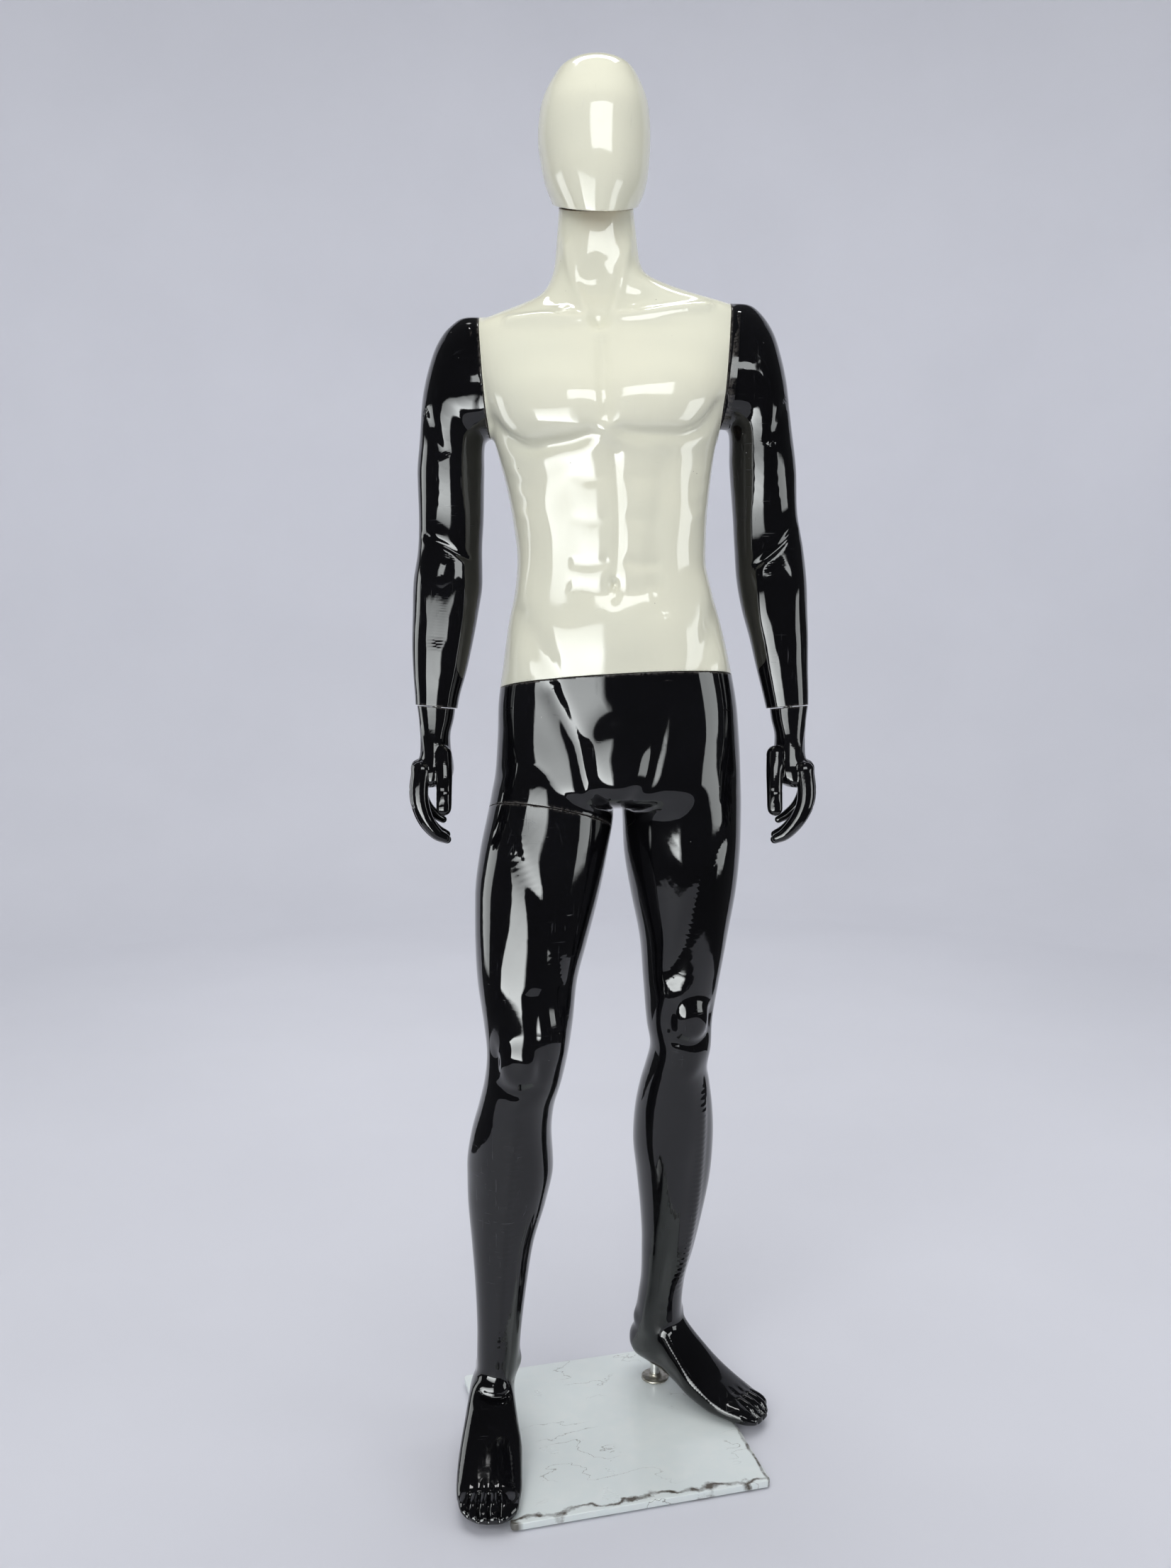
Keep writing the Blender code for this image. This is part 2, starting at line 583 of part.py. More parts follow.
def socket(name, point, axis, sizes, slot_turn):
    """A steel cup with a flange. The stud's bar goes in through the slot and turns behind the lip."""
    plate, stud_radius, head, length = sizes
    mouth = stud_radius + RUNNING
    inner = head + RUNNING
    outer = inner + CUP_WALL
    face = -PLATE_DEPTH + FLANGE_PLATE
    lip = -PLATE_DEPTH
    floor = lip - length - RUNNING
    profile = [
        (mouth, face),
        (plate, face),
        (plate, lip),
        (outer, lip),
        (outer, floor - CUP_WALL),
        (mouth, floor - CUP_WALL),
        (mouth, floor),
        (inner, floor),
        (inner, lip),
        (mouth, lip),
    ]
    obj = part(name, turned_mesh(profile), "steel", across(point, axis))
    slot_size = (2 * inner, 2 * mouth, 4 * FLANGE_PLATE)
    slot = block_mesh(f"{name}_slot", slot_size, (0.0, 0.0, face))
    turned = across(point, axis) @ Matrix.Rotation(slot_turn, 4, "Z")
    boolean(obj, "DIFFERENCE", guide(f"{name}_slot", slot, turned))
    return obj


def stud(name, point, axis, sizes):
    """A steel flange with a stud that reaches back across the seam, and a bar across the stud's tip."""
    plate, radius, head, length = sizes
    back = PLATE_DEPTH - FLANGE_PLATE
    tip = -PLATE_DEPTH - length
    profile = [
        (0.0, PLATE_DEPTH),
        (plate, PLATE_DEPTH),
        (plate, back),
        (radius, back),
        (radius, tip),
        (0.0, tip),
    ]
    obj = part(name, turned_mesh(profile), "steel", across(point, axis))
    reach = math.sqrt(head**2 - radius**2)
    middle = tip + BAR_SET_IN + BAR_THICK / 2
    bar = block_mesh(f"{name}_bar", (2 * reach, 2 * (radius - BAR_FLAT), BAR_THICK), (0.0, 0.0, middle))
    boolean(obj, "UNION", guide(f"{name}_bar", bar, across(point, axis)))
    return obj


def plate_screws(name, plate, board, point, axis, radius, count):
    """Pan-head screws through a socket's flange into its board, with their holes."""
    head_foot = -PLATE_DEPTH + FLANGE_PLATE + TOUCH
    top = head_foot + SCREW_HEAD_THICK
    profile = [
        (0.0, top),
        (SCREW_HEAD_RADIUS, top),
        (SCREW_HEAD_RADIUS, head_foot),
        (SCREW_RADIUS, head_foot),
        (SCREW_RADIUS, top - SCREW_LENGTH),
        (0.0, top - SCREW_LENGTH),
    ]
    for i in range(count):
        turn = (math.tau * i + SCREW_START) / count
        reach = Matrix.Translation((radius * math.cos(turn), radius * math.sin(turn), 0.0))
        place = across(point, axis) @ reach
        part(f"{name}_{i + 1}", turned_mesh(profile, SMALL_POINTS), "steel", place)
        clear = cylinder_mesh(SCREW_RADIUS + TOUCH, -THROUGH, top)
        bore = guide(f"{name}_{i + 1}_bore", clear, place)
        boolean(plate, "DIFFERENCE", bore)
        boolean(board, "DIFFERENCE", bore)


def screw_circle(sizes):
    """The screws stand halfway between the cup and the flange's edge."""
    plate, _, head, _ = sizes
    return (plate + head + RUNNING + CUP_WALL) / 2


def seam_cutters(name, point, axis, reach):
    """What lies beyond a seam, cut from the piece before it, and what lies before it, cut from the next."""
    beyond = half_space(f"{name}_beyond", point - axis * SEAM_GAP / 2, axis, reach)
    before = half_space(f"{name}_before", point + axis * SEAM_GAP / 2, -axis, reach)
    return beyond, before


def shoulder_axis(side):
    outward = -1.0 if side == "right" else 1.0
    return Vector((outward * math.cos(SHOULDER_DROP), 0.0, -math.sin(SHOULDER_DROP)))


def locked_pair(name, before_forms, beyond_forms, point, axis, sizes, screws, slot_turn):
    """Both sides of a seam: board, socket and screws before it, board and stud beyond it."""
    cup = sizes[2] + RUNNING + CUP_WALL + TOUCH
    start = -PLATE_DEPTH - TOUCH - BULKHEAD
    board = bulkhead(f"{name}_socket_board", before_forms, point, axis, start, BULKHEAD, cup)
    plate = socket(f"{name}_socket", point, axis, sizes, slot_turn)
    plate_screws(f"{name}_socket_screw", plate, board, point, axis, screw_circle(sizes), screws)
    bulkhead(f"{name}_stud_board", beyond_forms, point, axis, PLATE_DEPTH + TOUCH, BULKHEAD, BOLT_RADIUS)
    stud(f"{name}_stud", point, axis, sizes)


def build_head():
    """The egg-shaped head, cut on a slant under the jaw, with the board that takes the neck peg."""
    roll = Matrix.Rotation(HEAD_ROLL, 3, Vector((0.0, 1.0, 0.0)))
    axis = roll @ NECK_AXIS
    seat = NECK_SEAM + axis * (SEAM_GAP / 2 + NECK_REACH * math.tan(HEAD_ROLL))
    shell("head_shell", "ivory", ["head"], [half_space("head_before", seat, -axis, TRUNK_REACH)])
    lift = (seat - NECK_SEAM).length + PLATE_DEPTH
    bore = NECK_PEG_RADIUS + RUNNING
    bulkhead("head_base_board", ["head"], NECK_SEAM, NECK_AXIS, lift, BULKHEAD, bore)


def build_neck():
    """The steel peg that the head turns on, its flange screwed to the board at the top of the neck."""
    start = -PLATE_DEPTH - BULKHEAD
    bore = NECK_PEG_RADIUS + TOUCH
    bulkhead("neck_board", ["torso"], NECK_SEAM, NECK_AXIS, start, BULKHEAD, bore)
    face = -PLATE_DEPTH + TOUCH
    foot = start - NECK_PEG_FOOT
    profile = [
        (0.0, NECK_PEG_LENGTH),
        (NECK_PEG_RADIUS - NECK_PEG_CHAMFER, NECK_PEG_LENGTH),
        (NECK_PEG_RADIUS, NECK_PEG_LENGTH - NECK_PEG_CHAMFER),
        (NECK_PEG_RADIUS, face + FLANGE_PLATE),
        (NECK_PLATE_RADIUS, face + FLANGE_PLATE),
        (NECK_PLATE_RADIUS, face),
        (NECK_PEG_RADIUS, face),
        (NECK_PEG_RADIUS, foot),
        (0.0, foot),
    ]
    part("neck_peg", turned_mesh(profile), "steel", across(NECK_SEAM, NECK_AXIS))


def build_torso():
    neck, _ = seam_cutters("neck", NECK_SEAM, NECK_AXIS, SHOULDER_REACH)
    right, _ = seam_cutters("right_shoulder", SHOULDER_SEAMS["right"], shoulder_axis("right"), SHOULDER_REACH)
    left, _ = seam_cutters("left_shoulder", SHOULDER_SEAMS["left"], shoulder_axis("left"), SHOULDER_REACH)
    below = half_space("waist_below", WAIST_SEAM + WAIST_AXIS * SEAM_GAP / 2, -WAIST_AXIS, TRUNK_REACH)
    shell("torso_shell", "ivory", ["torso", "right_shoulder", "left_shoulder"], [neck, right, left, below])


def build_arm(side, hand, thumb):
    """A hollow arm, its shoulder fitting, and a solid hand on a steel peg in the forearm's end."""
    point = SHOULDER_SEAMS[side]
    axis = shoulder_axis(side)
    wrist = WRIST_SEAMS[side]
    wrist_axis = WRIST_AXES[side]
    _, above = seam_cutters(f"{side}_arm_top", point, axis, SHOULDER_REACH)
    hand_side, arm_side = seam_cutters(f"{side}_wrist", wrist, wrist_axis, HAND_REACH)
    shell(f"{side}_arm_shell", "black", [f"{side}_arm", f"{side}_shoulder"], [above, hand_side])
    forms_before = ["torso", f"{side}_shoulder"]
    forms_beyond = [f"{side}_arm", f"{side}_shoulder"]
    locked_pair(f"{side}_shoulder", forms_before, forms_beyond, point, axis, SHOULDER_SIZES, 2, SHOULDER_SLOT_TURN)
    bore = WRIST_PEG_RADIUS + RUNNING
    bulkhead(f"{side}_wrist_plug", [f"{side}_arm"], wrist, wrist_axis, -WRIST_PLUG, WRIST_PLUG - SEAM_GAP, bore)
    obj = part(f"{side}_hand", body_mesh(hand, LIMB_POINTS, ROUND), "black")
    boolean(obj, "UNION", guide(f"{side}_thumb_form", body_mesh(thumb, SMALL_POINTS, ROUND)))
    boolean(obj, "DIFFERENCE", arm_side)
    depth = WRIST_PEG_LENGTH + TOUCH
    boolean(obj, "DIFFERENCE", hole(f"{side}_hand_bore", wrist, wrist_axis, WRIST_PEG_RADIUS + TOUCH, -THROUGH, depth))
    peg = cylinder_mesh(WRIST_PEG_RADIUS, -WRIST_PEG_LENGTH, WRIST_PEG_LENGTH)
    part(f"{side}_wrist_peg", peg, "steel", across(wrist, wrist_axis))


def build_lower_body():
    """The pelvis in one moulding with the left leg, and the right leg that comes off at the thigh."""
    above = half_space("waist_above", WAIST_SEAM - WAIST_AXIS * SEAM_GAP / 2, WAIST_AXIS, TRUNK_REACH)
    beyond, before = seam_cutters("thigh", THIGH_SEAM, THIGH_AXIS, TRUNK_REACH)
    stub = guide("thigh_stub", body_mesh(RIGHT_LEG, LIMB_POINTS, ROUND, -LEG_CLEARANCE))
    boolean(stub, "INTERSECT", beyond)
    tube_radius = ROD_RADIUS + RUNNING + SOCKET_TUBE_WALL
    up = Vector((0.0, 0.0, 1.0))
    bore = hole("foot_bore", ROD_PLACE, up, tube_radius + TOUCH, PAD_THICK, ROD_TOP + RUNNING + SOCKET_TUBE_WALL + TOUCH)
    left_foot = foot_mesh(LEFT_HEEL, LEFT_TOE, LEFT_FOOT, LIMB_POINTS)
    names = ["pelvis", "left_leg", "right_leg"]
    shell("pelvis_leg_shell", "black", names, [above, stub, bore], [left_foot])
    right_foot = foot_mesh(RIGHT_HEEL, RIGHT_TOE, RIGHT_FOOT, LIMB_POINTS)
    shell("right_leg_shell", "black", ["right_leg"], [before], [right_foot])
    locked_pair("waist", ["pelvis"], ["torso"], WAIST_SEAM, WAIST_AXIS, WAIST_SIZES, 3, SLOT_TURN)
    locked_pair("thigh", ["right_leg"], ["right_leg"], THIGH_SEAM, THIGH_AXIS, THIGH_SIZES, 2, SLOT_TURN)


def build_foot_tube():
    """A steel tube bonded into the left foot, closed at its top, that slides down over the rod."""
    inner = ROD_RADIUS + RUNNING
    outer = inner + SOCKET_TUBE_WALL
    top = ROD_TOP + RUNNING
    profile = [
        (0.0, top + SOCKET_TUBE_WALL),
        (outer, top + SOCKET_TUBE_WALL),
        (outer, SOLE_AT_ROD),
        (inner, SOLE_AT_ROD),
        (inner, top),
        (0.0, top),
    ]
    part("foot_socket_tube", turned_mesh(profile), "steel", Matrix.Translation(ROD_PLACE))


def build_base():
    """The glass plate on four pads, with the rod bolted through it from below."""
    mesh = bmesh.new()
    bmesh.ops.create_cube(mesh, size=1.0)
    size = Matrix.Diagonal((GLASS_SIDE, GLASS_SIDE, GLASS_THICK, 1.0))
    bmesh.ops.transform(mesh, matrix=size, verts=mesh.verts)
    upright = [edge for edge in mesh.edges if abs(edge.verts[0].co.z - edge.verts[1].co.z) > GLASS_THICK / 2]
    bmesh.ops.bevel(mesh, geom=upright, offset=GLASS_CORNER, segments=4, profile=0.5, affect="EDGES")
    rims = [edge for edge in mesh.edges if abs(edge.verts[0].co.z - edge.verts[1].co.z) < GLASS_THICK / 2]
    rims = [edge for edge in rims if edge.is_manifold and edge.calc_face_angle() > math.radians(45)]
    bmesh.ops.bevel(mesh, geom=rims, offset=GLASS_CHAMFER, segments=1, profile=0.5, affect="EDGES")
    made = bpy.data.meshes.new("glass_base")
    mesh.to_mesh(made)
    mesh.free()
    middle = Vector((0.0, 0.0, PAD_THICK + GLASS_THICK / 2))
    place = Matrix.Translation(middle) @ Matrix.Rotation(GLASS_TURN, 4, "Z")
    glass = part("glass_base", made, "glass", place)
    up = Vector((0.0, 0.0, 1.0))
    boolean(glass, "DIFFERENCE", hole("glass_hole", ROD_PLACE, up, BOLT_RADIUS + GLASS_HOLE_SLACK, -THROUGH, THROUGH))
    reach = GLASS_SIDE / 2 - PAD_INSET
    pad = turned_mesh([(0.0, PAD_THICK - TOUCH), (PAD_RADIUS, PAD_THICK - TOUCH), (PAD_RADIUS, 0.0), (0.0, 0.0)])
    corners = [(-1, -1), (1, -1), (1, 1), (-1, 1)]
    for i, (along_x, along_y) in enumerate(corners):
        spot = Matrix.Rotation(GLASS_TURN, 4, "Z") @ Matrix.Translation((along_x * reach, along_y * reach, 0.0))
        part(f"base_pad_{i + 1}", pad.copy(), "clear_rubber", spot)


def build_rod():
    """Gasket, flange, rod, and the washer and bolt that hold them from under the glass."""
    place = Matrix.Translation(ROD_PLACE)
    clear = BOLT_RADIUS + TOUCH
    gasket_foot = PAD_THICK + GLASS_THICK + TOUCH
    gasket_top = gasket_foot + GASKET_THICK
    flange_foot = gasket_top + TOUCH
    flange_top = flange_foot + FLANGE_THICK
    seat = flange_foot + COUNTERBORE
    gasket = [(clear, gasket_top), (FLANGE_RADIUS, gasket_top), (FLANGE_RADIUS, gasket_foot), (clear, gasket_foot)]
    part("flange_gasket", turned_mesh(gasket), "clear_rubber", place)
    flange = [
        (ROD_RADIUS + TOUCH, flange_top + COLLAR_HEIGHT),
        (COLLAR_TOP_RADIUS, flange_top + COLLAR_HEIGHT),
        (COLLAR_RADIUS, flange_top),
        (FLANGE_RADIUS - FLANGE_CHAMFER, flange_top),
        (FLANGE_RADIUS, flange_top - FLANGE_CHAMFER),
        (FLANGE_RADIUS, flange_foot),
        (clear, flange_foot),
        (clear, seat),
        (ROD_RADIUS + TOUCH, seat),
    ]
    part("base_flange", turned_mesh(flange), "steel", place)
    bolt_tip = PAD_THICK + BOLT_LENGTH
    rod = [
        (0.0, ROD_TOP),
        (ROD_RADIUS - ROD_CHAMFER, ROD_TOP),
        (ROD_RADIUS, ROD_TOP - ROD_CHAMFER),
        (ROD_RADIUS, seat + TOUCH),
        (clear, seat + TOUCH),
        (clear, bolt_tip + TOUCH),
        (0.0, bolt_tip + TOUCH),
    ]
    part("base_rod", turned_mesh(rod), "steel", place)
    washer_top = PAD_THICK - TOUCH
    washer_foot = washer_top - WASHER_THICK
    washer = [(clear, washer_top), (WASHER_RADIUS, washer_top), (WASHER_RADIUS, washer_foot), (clear, washer_foot)]
    part("base_washer", turned_mesh(washer), "steel", place)
    head_top = washer_foot - TOUCH
    bolt = [
        (0.0, bolt_tip),
        (BOLT_RADIUS, bolt_tip),
        (BOLT_RADIUS, head_top),
        (BOLT_HEAD_RADIUS, head_top),
        (BOLT_HEAD_RADIUS, head_top - BOLT_HEAD_THICK),
        (0.0, head_top - BOLT_HEAD_THICK),
    ]
    part("base_bolt", turned_mesh(bolt), "steel", place)


clear_scene()
build_head()
build_neck()
build_torso()
build_arm("right", RIGHT_HAND, RIGHT_THUMB)
build_arm("left", LEFT_HAND, LEFT_THUMB)
build_lower_body()
build_foot_tube()
build_base()
build_rod()
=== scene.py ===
import math

import bmesh
import bpy
import numpy as np
from mathutils import Matrix, Vector


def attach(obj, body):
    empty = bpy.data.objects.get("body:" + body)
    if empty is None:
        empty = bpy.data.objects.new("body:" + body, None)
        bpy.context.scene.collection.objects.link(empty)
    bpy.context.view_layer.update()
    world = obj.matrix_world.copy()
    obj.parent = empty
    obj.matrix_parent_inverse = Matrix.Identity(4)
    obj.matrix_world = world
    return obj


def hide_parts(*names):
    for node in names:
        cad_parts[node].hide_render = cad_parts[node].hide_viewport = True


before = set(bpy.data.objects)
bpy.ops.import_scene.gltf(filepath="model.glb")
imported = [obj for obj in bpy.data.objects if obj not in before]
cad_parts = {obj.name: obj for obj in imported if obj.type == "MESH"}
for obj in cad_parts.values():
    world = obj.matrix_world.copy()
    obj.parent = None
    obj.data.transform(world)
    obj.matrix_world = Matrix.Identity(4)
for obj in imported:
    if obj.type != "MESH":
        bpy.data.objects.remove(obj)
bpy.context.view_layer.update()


# Camera: chest height, just under two metres in front of the glass, tipped down to take in head and feet.
CAMERA_PLACE = (-0.0322, -1.8648, 1.2039)
CAMERA_DIP = math.radians(8.016)
camera_data = bpy.data.cameras.new("camera")
camera_data.lens = 32.19
camera_data.sensor_width = 36.0
camera = bpy.data.objects.new("camera", camera_data)
camera.location = CAMERA_PLACE
camera.rotation_euler = (math.pi / 2 - CAMERA_DIP, 0.0, 0.0)
bpy.context.scene.collection.objects.link(camera)
bpy.context.scene.camera = camera


# Studio: a plain pale floor that sweeps up into a round wall on every side. Soft boxes light it, and windows that
# show only as reflections give the gloss its long pale streaks.
FLOOR_RADIUS = 3.2
SWEEP_RADIUS = 1.6
WALL_TOP = 5.0
DAYLIGHT = (0.96, 1.0, 1.0)
WINDOW_BLUR = 0.07
STUDIO_POINTS = 96


def add_object(name, mesh):
    obj = bpy.data.objects.new(name, mesh)
    bpy.context.scene.collection.objects.link(obj)
    return obj


def turned(name, profile, points, angle=35.0):
    """A turned piece about +Z from (radius, height) pairs.

    Ends on the axis close it, and any other profile is a ring.
    """
    mesh = bmesh.new()
    edge = [mesh.verts.new((radius, 0.0, height)) for radius, height in profile]
    lines = [mesh.edges.new(pair) for pair in zip(edge, edge[1:])]
    if profile[0][0] > 0 and profile[-1][0] > 0:
        lines.append(mesh.edges.new((edge[-1], edge[0])))
    turn = {"cent": (0, 0, 0), "axis": (0, 0, 1), "angle": math.tau, "steps": points, "use_merge": True}
    bmesh.ops.spin(mesh, geom=edge + lines, **turn)
    bmesh.ops.remove_doubles(mesh, verts=mesh.verts, dist=1e-6)
    bmesh.ops.recalc_face_normals(mesh, faces=mesh.faces)
    made = bpy.data.meshes.new(name)
    mesh.to_mesh(made)
    mesh.free()
    made.shade_smooth()
    made.set_sharp_from_angle(angle=math.radians(angle))
    return made


def wired(name):
    """A new material, its nodes, its links and its main shader."""
    made = bpy.data.materials.new(name)
    made.use_nodes = True
    tree = made.node_tree
    return made, tree.nodes, tree.links, tree.nodes["Principled BSDF"]


def grain(nodes, links, scale, detail=2.0, stretch=(1.0, 1.0, 1.0), turn=(0.0, 0.0, 0.0)):
    """Noise in the object's own metres, about scale patches to the metre, stretched and turned as asked."""
    where = nodes.new("ShaderNodeTexCoord")
    placed = nodes.new("ShaderNodeMapping")
    placed.inputs["Scale"].default_value = stretch
    placed.inputs["Rotation"].default_value = turn
    links.new(where.outputs["Object"], placed.inputs["Vector"])
    made = nodes.new("ShaderNodeTexNoise")
    made.inputs["Scale"].default_value = scale
    made.inputs["Detail"].default_value = detail
    links.new(placed.outputs["Vector"], made.inputs["Vector"])
    return made.outputs["Fac"]


def levels_of(nodes, links, value, low, high, low_out=0.0, high_out=1.0):
    """The value spread from low..high to low_out..high_out, and held at the ends."""
    made = nodes.new("ShaderNodeMapRange")
    made.inputs["From Min"].default_value = low
    made.inputs["From Max"].default_value = high
    made.inputs["To Min"].default_value = low_out
    made.inputs["To Max"].default_value = high_out
    links.new(value, made.inputs["Value"])
    return made.outputs["Result"]


def sum_of(nodes, links, operation, first, second):
    made = nodes.new("ShaderNodeMath")
    made.operation = operation
    for socket, value in zip(made.inputs, (first, second)):
        if isinstance(value, (int, float)):
            socket.default_value = value
        else:
            links.new(value, socket)
    return made.outputs["Value"]


def tint(nodes, links, share, under, over):
    """One colour over another by a share from 0 to 1. Either can be a colour or another node's output."""
    made = nodes.new("ShaderNodeMix")
    made.data_type = "RGBA"
    links.new(share, made.inputs["Factor"])
    for socket, colour in ((made.inputs[6], under), (made.inputs[7], over)):
        if isinstance(colour, tuple):
            socket.default_value = (*colour, 1.0)
        else:
            links.new(colour, socket)
    return made.outputs[2]


def bump(nodes, links, height, distance, normal=None):
    made = nodes.new("ShaderNodeBump")
    made.inputs["Distance"].default_value = distance
    made.inputs["Strength"].default_value = 1.0
    links.new(height, made.inputs["Height"])
    if normal:
        links.new(normal, made.inputs["Normal"])
    return made.outputs["Normal"]


def light(name, place, target, size, brightness, reflected=False, at_top=1.0, colour=(1.0, 1.0, 1.0)):
    """A soft box that fills the room with light, or a window that shows only as a reflection in the gloss.

    A window is blurred at its edges, and at its top has this share of the brightness at its foot.
    """
    data = bpy.data.lights.new(name, "AREA")
    data.shape = "RECTANGLE"
    data.size, data.size_y = size
    data.energy = brightness * math.pi * size[0] * size[1]
    data.color = colour
    obj = bpy.data.objects.new(name, data)
    obj.location = place
    obj.rotation_euler = (Vector(target) - Vector(place)).to_track_quat("-Z", "Y").to_euler()
    obj.visible_camera = False
    obj.visible_glossy = reflected
    obj.visible_diffuse = not reflected
    if reflected:
        data.use_nodes = True
        nodes, links = data.node_tree.nodes, data.node_tree.links
        pane = nodes.new("ShaderNodeNewGeometry")
        apart = nodes.new("ShaderNodeSeparateXYZ")
        links.new(pane.outputs["Parametric"], apart.inputs["Vector"])
        glow = levels_of(nodes, links, apart.outputs["Y"], 0.0, 1.0, 1.0, at_top)
        for along in ("X", "Y"):
            from_middle = sum_of(nodes, links, "SUBTRACT", apart.outputs[along], 0.5)
            from_middle = sum_of(nodes, links, "ABSOLUTE", from_middle, 0.0)
            edge = levels_of(nodes, links, from_middle, 0.5 - WINDOW_BLUR, 0.5, 1.0, 0.0)
            glow = sum_of(nodes, links, "MULTIPLY", glow, edge)
        links.new(glow, nodes["Emission"].inputs["Strength"])
    bpy.context.scene.collection.objects.link(obj)


REFLECTED_RADIUS = 1.40
studio_profile = [(0.0, 0.0), (REFLECTED_RADIUS, 0.0), (FLOOR_RADIUS, 0.0)]
for i in range(1, 17):
    swept = math.pi / 2 * i / 16
    studio_profile.append(
        (FLOOR_RADIUS + SWEEP_RADIUS * math.sin(swept), SWEEP_RADIUS * (1 - math.cos(swept)))
    )
studio_profile.append((FLOOR_RADIUS + SWEEP_RADIUS, WALL_TOP))
paper, nodes, links, shader = wired("studio_paper")
mottle = levels_of(nodes, links, grain(nodes, links, 1.6, 4.0), 0.35, 0.65)
links.new(
    tint(nodes, links, mottle, (0.635, 0.645, 0.695), (0.655, 0.665, 0.715)), shader.inputs["Base Color"]
)
shader.inputs["Roughness"].default_value = 0.75
shader.inputs["Specular IOR Level"].default_value = 0.2


def behind(place):
    return place.y > abs(place.x) * math.tan(math.radians(40))


def underfoot(place):
    return place.z < 0.001 and (behind(place) or math.hypot(place.x, place.y) < REFLECTED_RADIUS)


# The floor round the figure and the wall behind it are reflected in it, and the rest isn't, as in a dark shop
sweep = turned("studio_sweep", studio_profile, STUDIO_POINTS)
stretches = {
    "studio_floor": underfoot,
    "studio_floor_around": lambda place: place.z < 0.001 and not underfoot(place),
    "studio_wall_behind": lambda place: place.z >= 0.001 and behind(place),
    "studio_wall_around": lambda place: place.z >= 0.001 and not behind(place),
}
for name, chosen in stretches.items():
    stretch = bmesh.new()
    stretch.from_mesh(sweep)
    others = [face for face in stretch.faces if not chosen(face.calc_center_median())]
    bmesh.ops.delete(stretch, geom=others, context="FACES")
    paper_mesh = bpy.data.meshes.new(name)
    stretch.to_mesh(paper_mesh)
    stretch.free()
    paper_mesh.materials.append(paper)
    backdrop = add_object(name, paper_mesh)
    backdrop.visible_glossy = not name.endswith("around")

bpy.context.scene.view_settings.view_transform = "Standard"
world = bpy.data.worlds.new("studio_air")
world.use_nodes = True
world.node_tree.nodes["Background"].inputs["Color"].default_value = (0.90, 0.93, 1.0, 1.0)
world.node_tree.nodes["Background"].inputs["Strength"].default_value = 0.05
bpy.context.scene.world = world
light("front_box", (-0.9, -3.0, 2.5), (0.0, 0.0, 1.1), (2.6, 2.2), 3.5)
light("right_box", (3.0, -0.9, 1.8), (0.0, 0.0, 1.0), (1.6, 2.4), 1.5)
light("top_box", (0.0, -0.4, 4.4), (0.0, 0.0, 0.0), (3.4, 3.0), 2.2)
light("back_box", (0.0, 2.6, 3.9), (0.0, 0.6, 1.0), (3.0, 1.2), 1.8)
light("wall_box", (0.0, 1.0, 3.9), (0.0, 4.7, 1.0), (4.0, 1.2), 4.6)
light("front_window", (-1.24, -1.75, 0.77), (-1.24, 0.0, 0.77), (2.3, 1.48), 15.0, True, 0.22, DAYLIGHT)
light("upper_window", (0.50, -1.75, 2.35), (0.1, 0.0, 1.8), (1.9, 0.62), 6.5, True, 1.0, DAYLIGHT)
light("right_window", (1.7, -0.5, 0.9), (0.0, -0.1, 1.0), (0.8, 1.1), 4.0, True, 1.0, DAYLIGHT)
light("left_window", (-1.9, 0.6, 1.0), (0.0, 0.0, 1.0), (0.8, 1.4), 3.0, True, 1.0, DAYLIGHT)
light("ceiling_window", (0.0, 0.9, 3.6), (0.0, 0.0, 1.7), (1.6, 0.5), 9.0, True)



# Glass base: one square of thick float glass, pale green in its depth, with a rubbed milky film on top, fine
# scratches, and an edge that is chipped and stained along its front and right. It rests on four clear pads.
GLASS_SIDE = 0.356
GLASS_THICK = 0.0095
GLASS_CORNER = 0.006
GLASS_EASE = 0.0009
GLASS_TURN = math.radians(14.8)
GLASS_FOOT = 0.003
GLASS_GRID = 0.004
CHIP_DEPTH = 0.0007


def smooth_ramp(value, low, high):
    """0 below low, 1 above high, and an even curve between."""
    share = np.clip((value - low) / (high - low), 0.0, 1.0)
    return share * share * (3.0 - 2.0 * share)


def points_of(mesh):
    flat = np.empty(len(mesh.vertices) * 3, np.float32)
    mesh.vertices.foreach_get("co", flat)
    return flat.reshape(-1, 3).astype(float)


def set_points(mesh, points):
    mesh.vertices.foreach_set("co", points.astype(np.float32).ravel())
    mesh.update()


glass_mesh = bmesh.new()
bmesh.ops.create_cube(glass_mesh, size=1.0)
bmesh.ops.transform(
    glass_mesh, matrix=Matrix.Diagonal((GLASS_SIDE, GLASS_SIDE, GLASS_THICK, 1.0)), verts=glass_mesh.verts
)
upright = [
    edge for edge in glass_mesh.edges if abs(edge.verts[0].co.z - edge.verts[1].co.z) > GLASS_THICK / 2
]
bmesh.ops.bevel(glass_mesh, geom=upright, offset=GLASS_CORNER, segments=6, profile=0.5, affect="EDGES")
rims = [edge for edge in glass_mesh.edges if abs(edge.verts[0].co.z - edge.verts[1].co.z) < GLASS_THICK / 2]
rims = [edge for edge in rims if edge.is_manifold and edge.calc_face_angle() > math.radians(45)]
bmesh.ops.bevel(glass_mesh, geom=rims, offset=GLASS_EASE, segments=3, profile=0.6, affect="EDGES")
cuts = int(GLASS_SIDE / GLASS_GRID)
for i in range(1, cuts):
    where = -GLASS_SIDE / 2 + GLASS_SIDE * i / cuts
    for normal in ((1, 0, 0), (0, 1, 0)):
        geom = glass_mesh.verts[:] + glass_mesh.edges[:] + glass_mesh.faces[:]
        bmesh.ops.bisect_plane(glass_mesh, geom=geom, plane_co=Vector(normal) * where, plane_no=normal)
glass_data = bpy.data.meshes.new("glass_plate")
